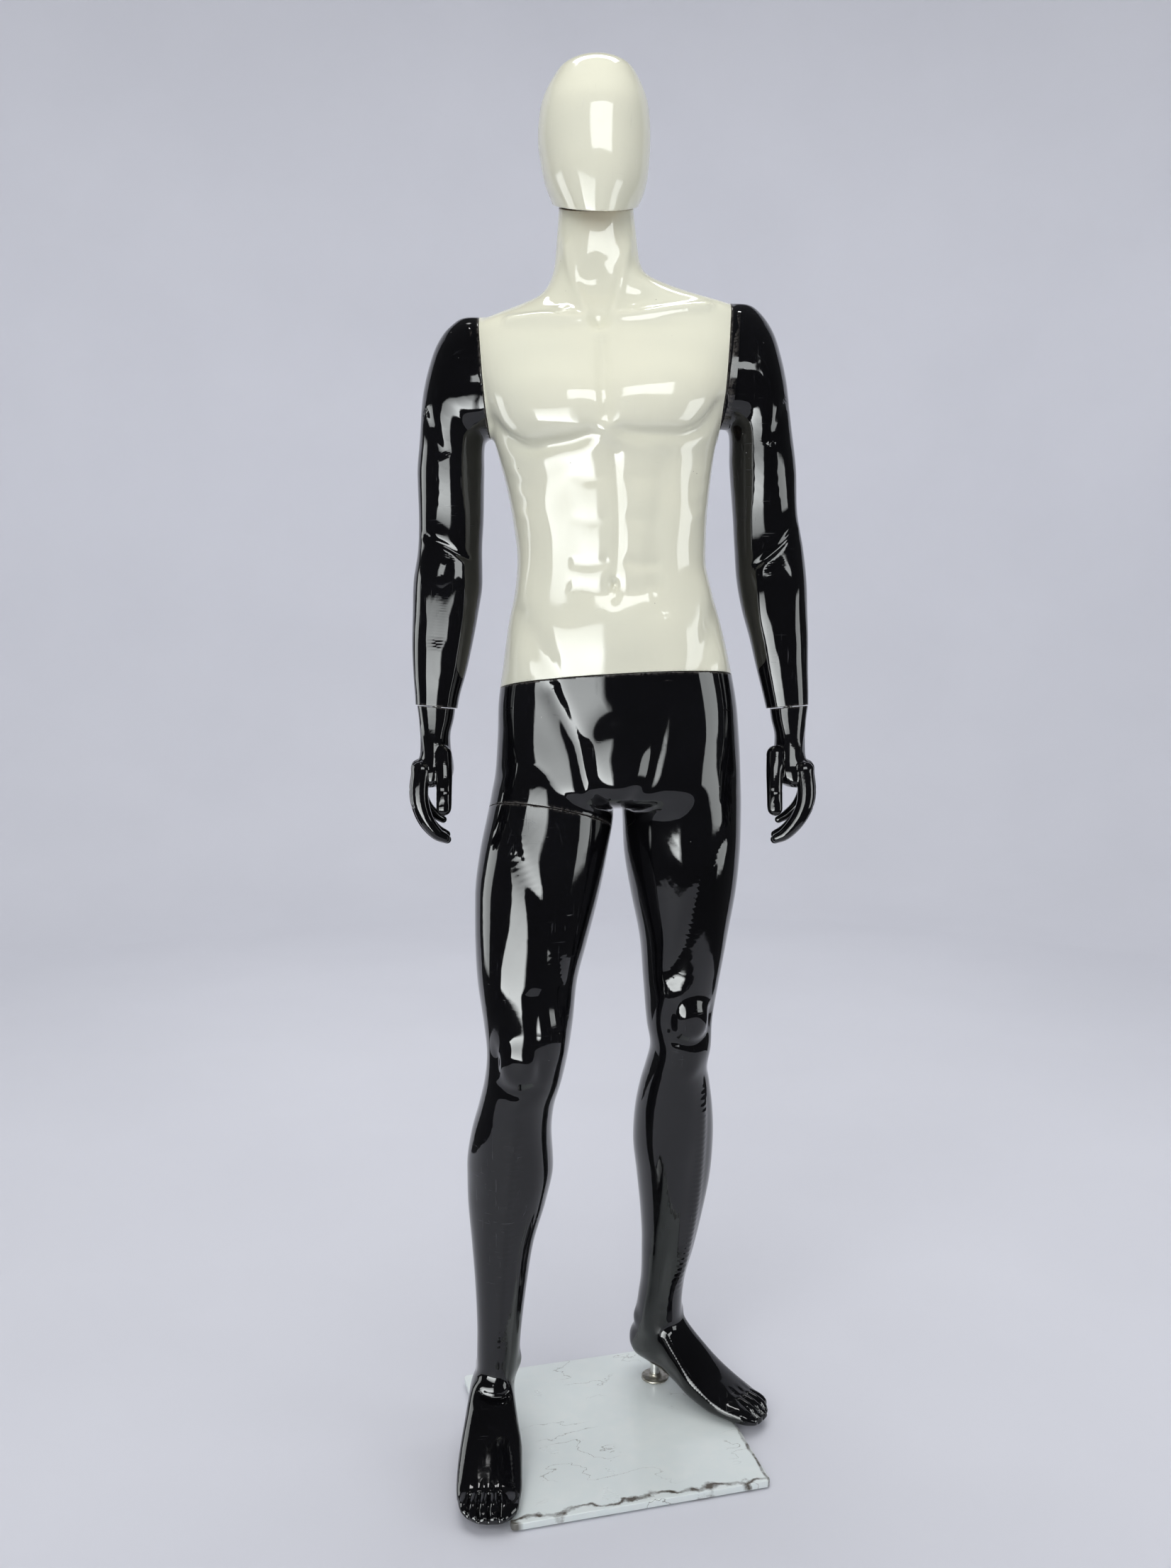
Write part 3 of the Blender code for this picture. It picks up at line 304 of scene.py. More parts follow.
glass_mesh.to_mesh(glass_data)
glass_mesh.free()
spots = points_of(glass_data)
top_rim = smooth_ramp(spots[:, 2], GLASS_THICK * 0.2, GLASS_THICK * 0.5)
near_front = smooth_ramp(-spots[:, 1], GLASS_SIDE / 2 - 0.004, GLASS_SIDE / 2)
near_right = smooth_ramp(spots[:, 0], GLASS_SIDE / 2 - 0.003, GLASS_SIDE / 2)
ripple = 0.5 + 0.5 * np.sin(spots[:, 0] * 71 + 1.3) * np.sin(spots[:, 0] * 187 + spots[:, 1] * 140)
ragged = 0.5 + 0.5 * np.sin(spots[:, 1] * 93) * np.sin(spots[:, 1] * 241 + 0.7)
spots[:, 2] -= CHIP_DEPTH * top_rim * np.maximum(near_front * ripple**3, near_right * ragged**3)
spots[:, 1] += CHIP_DEPTH * 0.6 * top_rim * near_front * ripple**3
set_points(glass_data, spots)
glass = add_object("glass_plate", glass_data)
glass.matrix_world = Matrix.Translation(
    (0, 0, GLASS_FOOT + GLASS_THICK / 2)
) @ Matrix.Rotation(GLASS_TURN, 4, "Z")
glass_data.shade_smooth()
glass_data.set_sharp_from_angle(angle=math.radians(30))

float_glass, nodes, links, shader = wired("float_glass")
where = nodes.new("ShaderNodeTexCoord")
apart = nodes.new("ShaderNodeSeparateXYZ")
links.new(where.outputs["Object"], apart.inputs["Vector"])
cloud = levels_of(nodes, links, grain(nodes, links, 11.0, 5.0), 0.20, 0.80)
body_colour = tint(nodes, links, cloud, (0.83, 0.90, 0.89), (0.88, 0.94, 0.92))
rubbed = levels_of(nodes, links, grain(nodes, links, 46.0, 8.0), 0.45, 0.80, 0.0, 0.45)
body_colour = tint(nodes, links, rubbed, body_colour, (0.94, 0.97, 0.94))
wander = grain(nodes, links, 26.0, 5.0)
edge_line = sum_of(nodes, links, "MULTIPLY_ADD", wander, 0.050)
edge_line.node.inputs[2].default_value = -GLASS_SIDE / 2 - 0.0140
below_line = sum_of(nodes, links, "SUBTRACT", edge_line, apart.outputs["Y"])
stain = levels_of(nodes, links, sum_of(nodes, links, "ABSOLUTE", below_line, 0.0), 0.0010, 0.0042, 1.0, 0.0)
side_line = sum_of(nodes, links, "MULTIPLY_ADD", wander, 0.012)
side_line.node.inputs[2].default_value = GLASS_SIDE / 2 - 0.0075
beside_line = sum_of(nodes, links, "SUBTRACT", side_line, apart.outputs["X"])
beside_line = sum_of(nodes, links, "ABSOLUTE", beside_line, 0.0)
side_stain = levels_of(nodes, links, beside_line, 0.0010, 0.0030, 1.0, 0.0)
stain = sum_of(nodes, links, "MAXIMUM", stain, side_stain)
patchy = levels_of(nodes, links, grain(nodes, links, 60.0, 6.0), 0.40, 0.56, 0.45, 1.0)
stain = sum_of(nodes, links, "MULTIPLY", stain, patchy)
to_corner = sum_of(nodes, links, "ADD", apart.outputs["X"], apart.outputs["Y"])
corner_stain = levels_of(nodes, links, to_corner, 0.008 - GLASS_SIDE, 0.016 - GLASS_SIDE, 0.9, 0.0)
stain = sum_of(nodes, links, "MAXIMUM", stain, corner_stain)
body_colour = tint(nodes, links, stain, body_colour, (0.07, 0.055, 0.035))
crack_web = grain(nodes, links, 9.0, 7.0, (1.0, 2.2, 1.0), (0.0, 0.0, 0.5))
beside_crack = sum_of(nodes, links, "ABSOLUTE", sum_of(nodes, links, "SUBTRACT", crack_web, 0.5), 0.0)
crack = levels_of(nodes, links, beside_crack, 0.0, 0.0045, 0.9, 0.0)
where_cracked = grain(nodes, links, 6.5, 1.0, (1.0, 1.0, 1.0), (0.0, 0.0, 1.1))
where_cracked = levels_of(nodes, links, where_cracked, 0.52, 0.60)
crack = sum_of(nodes, links, "MULTIPLY", crack, where_cracked)
body_colour = tint(nodes, links, crack, body_colour, (0.14, 0.13, 0.10))
links.new(body_colour, shader.inputs["Base Color"])
hair_lines = None
for turn in (0.35, 1.2, 2.3):
    line = grain(nodes, links, 60.0, 1.0, (1.0, 26.0, 1.0), (0.0, 0.0, turn))
    line = levels_of(nodes, links, line, 0.70, 0.76)
    hair_lines = line if hair_lines is None else sum_of(nodes, links, "MAXIMUM", hair_lines, line)
smears = levels_of(nodes, links, grain(nodes, links, 14.0, 6.0), 0.20, 0.80, 0.25, 0.35)
links.new(
    sum_of(nodes, links, "ADD", smears, sum_of(nodes, links, "MULTIPLY", hair_lines, 0.2)),
    shader.inputs["Roughness"]
)
links.new(bump(nodes, links, hair_lines, -0.00004), shader.inputs["Normal"])
shader.inputs["IOR"].default_value = 1.52
shader.inputs["Transmission Weight"].default_value = 0.20
shader.inputs["Coat Weight"].default_value = 0.5
shader.inputs["Coat Roughness"].default_value = 0.04
glass_data.materials.append(float_glass)
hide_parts("glass_base")
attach(glass, "base")


# Base pads: four clear soft discs stuck under the corners of the glass, with a rounded lower edge.
PAD_RADIUS = 0.008
PAD_INSET = 0.020
PAD_EASE = 0.0007

soft_clear, nodes, links, shader = wired("soft_clear")
dust = levels_of(nodes, links, grain(nodes, links, 420.0, 5.0), 0.45, 0.70)
links.new(tint(nodes, links, dust, (0.80, 0.80, 0.77), (0.56, 0.54, 0.49)), shader.inputs["Base Color"])
links.new(levels_of(nodes, links, dust, 0.0, 1.0, 0.22, 0.55), shader.inputs["Roughness"])
links.new(bump(nodes, links, grain(nodes, links, 900.0, 3.0), 0.00003), shader.inputs["Normal"])
shader.inputs["IOR"].default_value = 1.49
shader.inputs["Transmission Weight"].default_value = 0.55

pad_reach = GLASS_SIDE / 2 - PAD_INSET
pad_profile = [(0.0, GLASS_FOOT - 0.0002), (PAD_RADIUS, GLASS_FOOT - 0.0002), (PAD_RADIUS, PAD_EASE)]
pad_profile += [(PAD_RADIUS - PAD_EASE * 0.3, PAD_EASE * 0.3), (PAD_RADIUS - PAD_EASE, 0.0), (0.0, 0.0)]
for i, (along_x, along_y) in enumerate([(-1, -1), (1, -1), (1, 1), (-1, 1)]):
    pad = add_object(f"clear_pad_{i + 1}", turned(f"clear_pad_{i + 1}", pad_profile, 48))
    corner = Matrix.Translation((along_x * pad_reach, along_y * pad_reach, 0.0))
    pad.matrix_world = Matrix.Rotation(GLASS_TURN, 4, "Z") @ corner
    pad.data.materials.append(soft_clear)
    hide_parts(f"base_pad_{i + 1}")
    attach(pad, "base")


# Foot rod: a steel rod in a flared collar and a dull nickel disc, on a thin clear gasket, drawn down to the glass
# by a bolt and washer from below. The disc is turned and shows fine rings and water marks.
ROD_PLACE = (0.0734, 0.1225, 0.0)
ROD_RADIUS = 0.0070
ROD_TOP = 0.115
FLANGE_RADIUS = 0.0205
COLLAR_RADIUS = 0.0105
COLLAR_TOP_RADIUS = 0.0082
GASKET_FOOT = GLASS_FOOT + GLASS_THICK + 0.0003
GASKET_TOP = GASKET_FOOT + 0.0008
FLANGE_FOOT = GASKET_TOP + 0.0003
FLANGE_TOP = FLANGE_FOOT + 0.0025
COLLAR_TOP = FLANGE_TOP + 0.0045
ROD_FOOT = FLANGE_FOOT + 0.0015
BOLT_RADIUS = 0.0040
BOLT_TIP = GLASS_FOOT + 0.030
THREAD_PITCH = 0.00125


def steel(name, colour, worn, roughness, ring_scale):
    """Turned or plated steel: rings or a fine brush, and cloudy tarnish in darker, rougher patches."""
    made, nodes, links, shader = wired(name)
    brush = grain(nodes, links, ring_scale, 2.0, (1.0, 1.0, 9.0))
    cloud = levels_of(nodes, links, grain(nodes, links, 120.0, 6.0), 0.36, 0.66)
    links.new(tint(nodes, links, cloud, colour, worn), shader.inputs["Base Color"])
    shader.inputs["Metallic"].default_value = 1.0
    rough = levels_of(nodes, links, cloud, 0.0, 1.0, roughness, roughness + 0.22)
    fine = levels_of(nodes, links, brush, 0.3, 0.7, -0.05, 0.07)
    links.new(sum_of(nodes, links, "ADD", rough, fine), shader.inputs["Roughness"])
    links.new(bump(nodes, links, brush, 0.00002), shader.inputs["Normal"])
    return made


dull_nickel = steel("dull_nickel", (0.40, 0.38, 0.33), (0.24, 0.225, 0.19), 0.30, 900.0)
zinc_plate = steel("zinc_plate", (0.66, 0.66, 0.64), (0.48, 0.48, 0.47), 0.24, 700.0)


def fitting(name, node, body, profile, finish, place, angle=35.0):
    """A finely turned piece in place of the plain one of the frame."""
    made = add_object(name, turned(name, profile, 64, angle))
    made.matrix_world = place
    made.data.materials.append(finish)
    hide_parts(node)
    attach(made, body)
    return made


rod_foot_place = Matrix.Translation(ROD_PLACE)
gasket_profile = [(BOLT_RADIUS + 0.0003, GASKET_TOP), (FLANGE_RADIUS - 0.0004, GASKET_TOP)]
gasket_profile += [
    (FLANGE_RADIUS, GASKET_TOP - 0.0003), (FLANGE_RADIUS, GASKET_FOOT), (BOLT_RADIUS + 0.0003, GASKET_FOOT)
]
fitting("rod_gasket", "flange_gasket", "base", gasket_profile, soft_clear, rod_foot_place)
flange_profile = [(ROD_RADIUS + 0.0003, COLLAR_TOP), (COLLAR_TOP_RADIUS - 0.0003, COLLAR_TOP)]
flange_profile += [(COLLAR_TOP_RADIUS, COLLAR_TOP - 0.0003)]
for i in range(7):
    share = i / 6
    flare = COLLAR_TOP_RADIUS + (COLLAR_RADIUS + 0.0012 - COLLAR_TOP_RADIUS) * share**2.2
    flange_profile.append((flare, COLLAR_TOP - 0.0008 - (COLLAR_TOP - 0.0008 - FLANGE_TOP) * share))
flange_profile += [(FLANGE_RADIUS - 0.0030, FLANGE_TOP), (FLANGE_RADIUS - 0.0012, FLANGE_TOP - 0.0002)]
flange_profile += [(FLANGE_RADIUS - 0.0003, FLANGE_TOP - 0.0007), (FLANGE_RADIUS, FLANGE_TOP - 0.0013)]
flange_profile += [(FLANGE_RADIUS, FLANGE_FOOT), (BOLT_RADIUS + 0.0003, FLANGE_FOOT)]
flange_profile += [
    (BOLT_RADIUS + 0.0003, FLANGE_FOOT + 0.0012), (ROD_RADIUS + 0.0003, FLANGE_FOOT + 0.0012)
]
fitting("rod_flange", "base_flange", "base", flange_profile, dull_nickel, rod_foot_place)
rod_profile = [(0.0, ROD_TOP), (ROD_RADIUS - 0.0010, ROD_TOP), (ROD_RADIUS - 0.0003, ROD_TOP - 0.0003)]
rod_profile += [(ROD_RADIUS, ROD_TOP - 0.0010), (ROD_RADIUS, ROD_FOOT), (BOLT_RADIUS + 0.0003, ROD_FOOT)]
rod_profile += [(BOLT_RADIUS + 0.0003, BOLT_TIP + 0.0003), (0.0, BOLT_TIP + 0.0003)]
fitting("foot_rod", "base_rod", "base", rod_profile, zinc_plate, rod_foot_place)
washer_profile = [(BOLT_RADIUS + 0.0003, 0.0027), (0.0093, 0.0027), (0.0095, 0.0025), (0.0095, 0.0021)]
washer_profile += [(BOLT_RADIUS + 0.0003, 0.0021)]
fitting("bolt_washer", "base_washer", "base", washer_profile, zinc_plate, rod_foot_place)
bolt_profile = [
    (0.0, BOLT_TIP), (BOLT_RADIUS - 0.0010, BOLT_TIP), (BOLT_RADIUS - 0.0001, BOLT_TIP - 0.0009)
]
turns = int((BOLT_TIP - 0.0009 - 0.0120) / THREAD_PITCH)
for i in range(turns):
    crest = BOLT_TIP - 0.0010 - THREAD_PITCH * i
    bolt_profile += [(BOLT_RADIUS - 0.0001, crest), (BOLT_RADIUS - 0.0006, crest - THREAD_PITCH / 2)]
bolt_profile += [(BOLT_RADIUS - 0.0001, 0.0110), (BOLT_RADIUS - 0.0001, 0.0018), (0.0077, 0.0018)]
bolt_profile += [(0.0080, 0.0015), (0.0079, 0.0008), (0.0070, 0.0004), (0.0, 0.0004)]
fitting("rod_bolt", "base_bolt", "base", bolt_profile, zinc_plate, rod_foot_place)


# Lower body: pelvis and left leg in one hand-laid glass-fibre moulding, lacquered piano black, and the right leg
# in another that locks on at the thigh so that trousers can be drawn over it. Both are formed here as one skin,
# pressed with the muscles, folds, knees and toes, and then cut at the waist and the thigh.
WALL = 0.0032
SEAM_GAP = 0.0010
EDGE_EASE = 0.0007
LIP_DEPTH = 0.012
SKIN_GRAIN = 0.0027
ROUND = 2.1
CHEST = 2.3
FOOT = 2.6
GLASS_TOP = GLASS_FOOT + GLASS_THICK + 0.0003
WAIST_SEAM = Vector((0.0095, 0.0250, 1.0750))
WAIST_AXIS = Vector((-0.058, 0.170, 1.0)).normalized()
THIGH_SEAM = Vector((-0.0830, 0.0150, 0.8930))
THIGH_AXIS = Vector((-0.170, -0.300, -1.0)).normalized()
FORK_X = 0.009

# Level outlines, top to bottom: height, right edge, left edge, front, back
PELVIS = (
    (1.1500, -0.1350, 0.1480, -0.0880, 0.1080),
    (1.1000, -0.1420, 0.1600, -0.0900, 0.1180),
    (1.0500, -0.1490, 0.1700, -0.0900, 0.1290),
    (1.0100, -0.1505, 0.1740, -0.0910, 0.1350),
    (0.9700, -0.1530, 0.1770, -0.0930, 0.1370),
    (0.9450, -0.1550, 0.1780, -0.0940, 0.1350),
    (0.9300, -0.1480, 0.1700, -0.0860, 0.1280),
    (0.9190, -0.1250, 0.1450, -0.0650, 0.1100),
    (0.9140, -0.0800, 0.1000, -0.0400, 0.0850),
)
RIGHT_LEG = (
    (0.9900, -0.1440, -0.0120, -0.0680, 0.1200),
    (0.9450, -0.1560, 0.0000, -0.0840, 0.1280),
    (0.9040, -0.1640, 0.0060, -0.0890, 0.1220),
    (0.8500, -0.1750, -0.0020, -0.0950, 0.1070),
    (0.7900, -0.1815, -0.0145, -0.1000, 0.0910),
    (0.7300, -0.1810, -0.0300, -0.1045, 0.0750),
    (0.6800, -0.1780, -0.0430, -0.1075, 0.0620),
    (0.6200, -0.1692, -0.0496, -0.1085, 0.0460),
    (0.5820, -0.1655, -0.0554, -0.1060, 0.0380),
    (0.5420, -0.1693, -0.0640, -0.0970, 0.0380),
    (0.5020, -0.1785, -0.0749, -0.0870, 0.0460),
    (0.4600, -0.1897, -0.0789, -0.0790, 0.0540),
    (0.4100, -0.1965, -0.0770, -0.0720, 0.0580),
    (0.3600, -0.1960, -0.0865, -0.0660, 0.0520),
    (0.3000, -0.1912, -0.1040, -0.0595, 0.0390),
    (0.2400, -0.1870, -0.1140, -0.0550, 0.0290),
    (0.1700, -0.1847, -0.1225, -0.0530, 0.0240),
    (0.1200, -0.1860, -0.1270, -0.0520, 0.0280),
    (0.0800, -0.1850, -0.1340, -0.0450, 0.0300),
)
LEFT_LEG = (
    (0.9900, 0.0140, 0.1700, -0.0600, 0.1250),
    (0.9450, 0.0140, 0.1785, -0.0740, 0.1320),
    (0.9030, 0.0174, 0.1801, -0.0700, 0.1290),
    (0.8440, 0.0205, 0.1789, -0.0620, 0.1220),
    (0.7900, 0.0295, 0.1740, -0.0535, 0.1140),
    (0.7240, 0.0425, 0.1625, -0.0430, 0.1040),
    (0.6640, 0.0477, 0.1520, -0.0350, 0.0950),
    (0.6040, 0.0529, 0.1440, -0.0290, 0.0860),
    (0.5700, 0.0580, 0.1430, -0.0250, 0.0860),
    (0.5370, 0.0519, 0.1390, -0.0170, 0.0930),
    (0.5140, 0.0462, 0.1428, -0.0100, 0.1020),
    (0.4690, 0.0387, 0.1490, 0.0000, 0.1180),
    (0.4200, 0.0362, 0.1516, 0.0110, 0.1310),
    (0.3600, 0.0420, 0.1490, 0.0270, 0.1390),
    (0.3000, 0.0480, 0.1400, 0.0440, 0.1420),
    (0.2400, 0.0510, 0.1290, 0.0620, 0.1460),
    (0.1800, 0.0505, 0.1160, 0.0770, 0.1530),
    (0.1310, 0.0450, 0.1130, 0.0850, 0.1620),
    (0.0950, 0.0440, 0.1130, 0.0900, 0.1660),
)
# Across each foot, heel to toe: distance from the heel, low edge, high edge, sole and top above the glass
RIGHT_HEEL = Vector((-0.1660, 0.0350, 0.0))
RIGHT_TOE = Vector((-0.1550, -0.2240, 0.0))
RIGHT_FOOT = (
    (0.0000, -0.0170, 0.0170, 0.0160, 0.0480),
    (0.0120, -0.0260, 0.0260, 0.0040, 0.0720),
    (0.0400, -0.0320, 0.0310, 0.0000, 0.0970),
    (0.0780, -0.0340, 0.0330, 0.0000, 0.1020),
    (0.1080, -0.0380, 0.0370, 0.0025, 0.0800),
    (0.1450, -0.0430, 0.0420, 0.0010, 0.0550),
    (0.1850, -0.0450, 0.0420, 0.0000, 0.0360),
    (0.2180, -0.0430, 0.0400, 0.0000, 0.0240),
    (0.2450, -0.0330, 0.0340, 0.0000, 0.0180),
    (0.2590, -0.0150, 0.0200, 0.0035, 0.0120),
)
LEFT_HEEL = Vector((0.0434, 0.1582, 0.0))
LEFT_TOE = Vector((0.2240, 0.0020, 0.0))
LEFT_FOOT = (
    (0.0000, -0.0170, 0.0170, 0.0430, 0.0700),
    (0.0120, -0.0260, 0.0250, 0.0300, 0.0880),
    (0.0400, -0.0320, 0.0300, 0.0250, 0.1120),
    (0.0720, -0.0340, 0.0320, 0.0215, 0.1080),
    (0.1000, -0.0380, 0.0330, 0.0160, 0.0850),
    (0.1350, -0.0430, 0.0360, 0.0060, 0.0580),
    (0.1700, -0.0430, 0.0380, 0.0000, 0.0390),
    (0.2000, -0.0390, 0.0370, 0.0000, 0.0280),
    (0.2250, -0.0300, 0.0280, 0.0000, 0.0190),
    (0.2380, -0.0200, 0.0100, 0.0035, 0.0120),
)


def between(table, step):
    """Rows about a step apart on a smooth curve through the given ones, which never swings past them."""
    rows = np.array(table)
    if rows[0, 0] > rows[-1, 0]:
        rows = rows[::-1]
    gaps = np.diff(rows[:, 0])[:, None]
    rise = np.diff(rows, axis=0) / gaps
    slopes = np.vstack([rise[:1], (rise[:-1] + rise[1:]) / 2, rise[-1:]])
    turning = rise[:-1] * rise[1:] <= 0
    slopes[1:-1][turning] = 0.0
    made = []
    for i, gap in enumerate(gaps[:, 0]):
        count = max(1, round(gap / step))
        for part in range(count):
            t = part / count
            made.append(
                (2 * t**3 - 3 * t**2 + 1) * rows[i] + (t**3 - 2 * t**2 + t) * gap * slopes[i]
                + (3 * t**2 - 2 * t**3) * rows[i + 1] + (t**3 - t**2) * gap * slopes[i + 1]
            )
    made.append(rows[-1])
    return np.array(made)


def round_box(power, count):
    """Cosines and sines round an outline. The power says how squarely it fills its box: 2 is an ellipse."""
    turn = np.linspace(0.0, math.tau, count, endpoint=False)
    cos, sin = np.cos(turn), np.sin(turn)
    return np.sign(cos) * np.abs(cos) ** (2 / power), np.sign(sin) * np.abs(sin) ** (2 / power)


def skinned(rings):
    """A closed surface through rings of points."""
    rows, count = len(rings), len(rings[0])
    places = np.concatenate(rings)
    index = np.arange(rows * count).reshape(rows, count)
    beside = np.roll(index, -1, axis=1)
    faces = np.stack([index[:-1], beside[:-1], beside[1:], index[1:]], axis=-1).reshape(-1, 4).tolist()
    faces += [index[0].tolist()[::-1], index[-1].tolist()]
    made = bpy.data.meshes.new("form")
    made.from_pydata(places.tolist(), [], faces)
    return made


def body_form(table, power):
    cos, sin = round_box(power, 72)
    rings = []
    for height, low_x, high_x, low_y, high_y in between(table, 0.006):
        ring_x = (low_x + high_x) / 2 + cos * (high_x - low_x) / 2
        ring_y = (low_y + high_y) / 2 + sin * (high_y - low_y) / 2
        rings.append(np.stack([ring_x, ring_y, np.full_like(ring_x, height)], axis=1))
    return skinned(rings)


def foot_form(heel, toe, table):
    forward = np.array((toe - heel).normalized())
    side = np.array((-forward[1], forward[0], 0.0))
    cos, sin = round_box(FOOT, 64)
    rings = []
    for along, low, high, sole, top in between(table, 0.005):
        across = (low + high) / 2 + cos * (high - low) / 2
        height = (sole + top) / 2 + sin * (top - sole) / 2 + GLASS_TOP
        rings.append(
            np.array(heel) + forward * along + side * across[:, None] + [0, 0, 1] * height[:, None]
        )
    return skinned(rings)


def clay(name, forms, size):
    """Forms run together into one even skin of small squares."""
    joined = bmesh.new()
    for form in forms:
        joined.from_mesh(form)
    bmesh.ops.recalc_face_normals(joined, faces=joined.faces)
    mesh = bpy.data.meshes.new(name)
    joined.to_mesh(mesh)
    joined.free()
    obj = add_object(name, mesh)
    remesh = obj.modifiers.new("remesh", "REMESH")
    remesh.mode = "VOXEL"
    remesh.voxel_size = size
    made = bpy.data.meshes.new_from_object(obj.evaluated_get(bpy.context.evaluated_depsgraph_get()))
    bpy.data.objects.remove(obj)
    return made


def neighbours(mesh):
    pairs = np.empty(len(mesh.edges) * 2, np.int32)
    mesh.edges.foreach_get("vertices", pairs)
    return pairs.reshape(-1, 2)


def relax(mesh, passes, share=1.0, keep=True):
    """Evens the skin out. With keep it holds its volume, and without it draws tight across hollows."""
    points = points_of(mesh)
    pairs = neighbours(mesh)
    count = np.bincount(pairs.ravel(), minlength=len(points))[:, None]
    for i in range(passes):
        total = np.zeros_like(points)
        for axis in range(3):
            total[:, axis] = np.bincount(pairs[:, 0], points[pairs[:, 1], axis], len(points))
            total[:, axis] += np.bincount(pairs[:, 1], points[pairs[:, 0], axis], len(points))
        pull = -0.52 if keep and i % 2 else 0.5
        points += (total / count - points) * pull * share
    set_points(mesh, points)


def normals_of(mesh):
    flat = np.empty(len(mesh.vertices) * 3, np.float32)
    mesh.vertices.foreach_get("normal", flat)
    return flat.reshape(-1, 3).astype(float)


def near(points, centre, reach):
    """1 at the centre, falling smoothly to 0 at the reach."""
    away = np.linalg.norm(points - np.array(centre), axis=1)
    return (1.0 - smooth_ramp(away, reach * 0.4, reach))[:, None]


def seen(mesh, look, across, up=(0.0, 0.0, 1.0), origin=(0.0, 0.0, 0.0)):
    """How the skin lies seen along a direction: across, up, and how squarely it faces the eye."""
    points = points_of(mesh) - np.array(origin)
    facing = smooth_ramp(-normals_of(mesh) @ np.array(look), 0.05, 0.65)
    return points @ np.array(across), points @ np.array(up), facing


def mound(view, place, size, height, turn=0.0, firm=1.0):
    """How far a rounded swelling lifts each point. A firm one is flatter on top and steeper at its edge."""
    across, up, facing = view
    cos, sin = math.cos(turn), math.sin(turn)
    one = ((across - place[0]) * cos + (up - place[1]) * sin) / size[0]
    two = ((up - place[1]) * cos - (across - place[0]) * sin) / size[1]
    return height * facing * np.exp(-((one**2 + two**2) ** firm))


def course_through(knots, steps):
    """Points along a smooth line through the knots, with this many steps from each knot to the next."""
    line = np.array(knots, float)
    ends = np.vstack([2 * line[0] - line[1], line, 2 * line[-1] - line[-2]])
    samples = []
    for i in range(len(line) - 1):
        a, b, c, d = ends[i : i + 4]
        for t in np.linspace(0.0, 1.0, steps, endpoint=i == len(line) - 2):
            bend = (2 * a - 5 * b + 4 * c - d) * t**2
            swing = (3 * b - a - 3 * c + d) * t**3
            samples.append(0.5 * (2 * b + (c - a) * t + bend + swing))
    return np.array(samples)


def fold(view, path, width, height, blunt=0.15):
    """How far a crease or ridge along a path moves each point. It fades towards both its ends."""
    across, up, facing = view
    samples = course_through(path, 14)
    along = np.concatenate([[0.0], np.cumsum(np.linalg.norm(np.diff(samples, axis=0), axis=1))])
    along /= along[-1]
    made = np.zeros(len(across))
    low, high = samples.min(axis=0) - 3 * width, samples.max(axis=0) + 3 * width
    close = (facing > 0) & (across > low[0]) & (across < high[0]) & (up > low[1]) & (up < high[1])
    spots = np.stack([across[close], up[close]], axis=1)
    away = np.linalg.norm(spots[:, None, :] - samples[None, :, :], axis=2)
    nearest = away.argmin(axis=1)
    fade = smooth_ramp(along[nearest], 0.0, blunt) * (1.0 - smooth_ramp(along[nearest], 1.0 - blunt, 1.0))
    made[close] = height * facing[close] * fade * np.exp(-((away.min(axis=1) / width) ** 2))
    return made


def relief(view, marks):
    """Mounds and folds seen from one side. A fold's mark starts with its path, a mound's with its place."""
    return sum(fold(view, *mark) if isinstance(mark[0], list) else mound(view, *mark) for mark in marks)


def press(mesh, lift):
    """Moves the skin out, or in where the lift is negative, along its own normals."""
    set_points(mesh, points_of(mesh) + normals_of(mesh) * lift[:, None])


def finer(mesh, test):
    """Halves the squares of the skin where the test on their corners' places holds."""
    work = bmesh.new()
    work.from_mesh(mesh)
    edges = [edge for edge in work.edges if test(edge.verts[0].co) and test(edge.verts[1].co)]
    bmesh.ops.subdivide_edges(work, edges=edges, cuts=1, use_grid_fill=True)
    made = bpy.data.meshes.new(mesh.name + "_finer")
    work.to_mesh(made)
    work.free()
    return made


def flooded(work, start):
    """The corners of the skin that can be walked to from the one nearest to the start."""
    work.verts.ensure_lookup_table()
    first = min(work.verts, key=lambda vert: (vert.co - start).length_squared)
    found, edge = {first}, [first]
    while edge:
        for link in edge.pop().link_edges:
            for vert in link.verts:
                if vert not in found:
                    found.add(vert)
                    edge.append(vert)
    return found


def rim_steps(ease, wall, lip):
    """How a cut edge turns in: distance inwards and distance up towards the seam, for each step."""
    turns = (math.pi / 6, math.pi / 3, math.pi / 2)
    arc = [(ease * (1 - math.cos(turn)), ease * math.sin(turn)) for turn in turns]
    return arc + [(wall, ease), (wall, ease - lip)]


def turn_in(work, edges, axis, steps):
    """Carries a cut edge round into the wall's thickness and a lip inside it."""
    inward = {}
    for vert in {vert for edge in edges for vert in edge.verts}:
        flat = vert.normal - axis * vert.normal.dot(axis)
        inward[vert] = -flat.normalized()
    base = {vert: vert.co.copy() for vert in inward}
    row = {vert: vert for vert in inward}
    loops = [(edge.link_loops[0].link_loop_next.vert, edge.link_loops[0].vert) for edge in edges]
    for inset, rise in steps:
        fresh = {vert: work.verts.new(base[vert] + inward[vert] * inset + axis * rise) for vert in inward}
        for first, second in loops:
            work.faces.new((row[first], row[second], fresh[second], fresh[first]))
        row = fresh


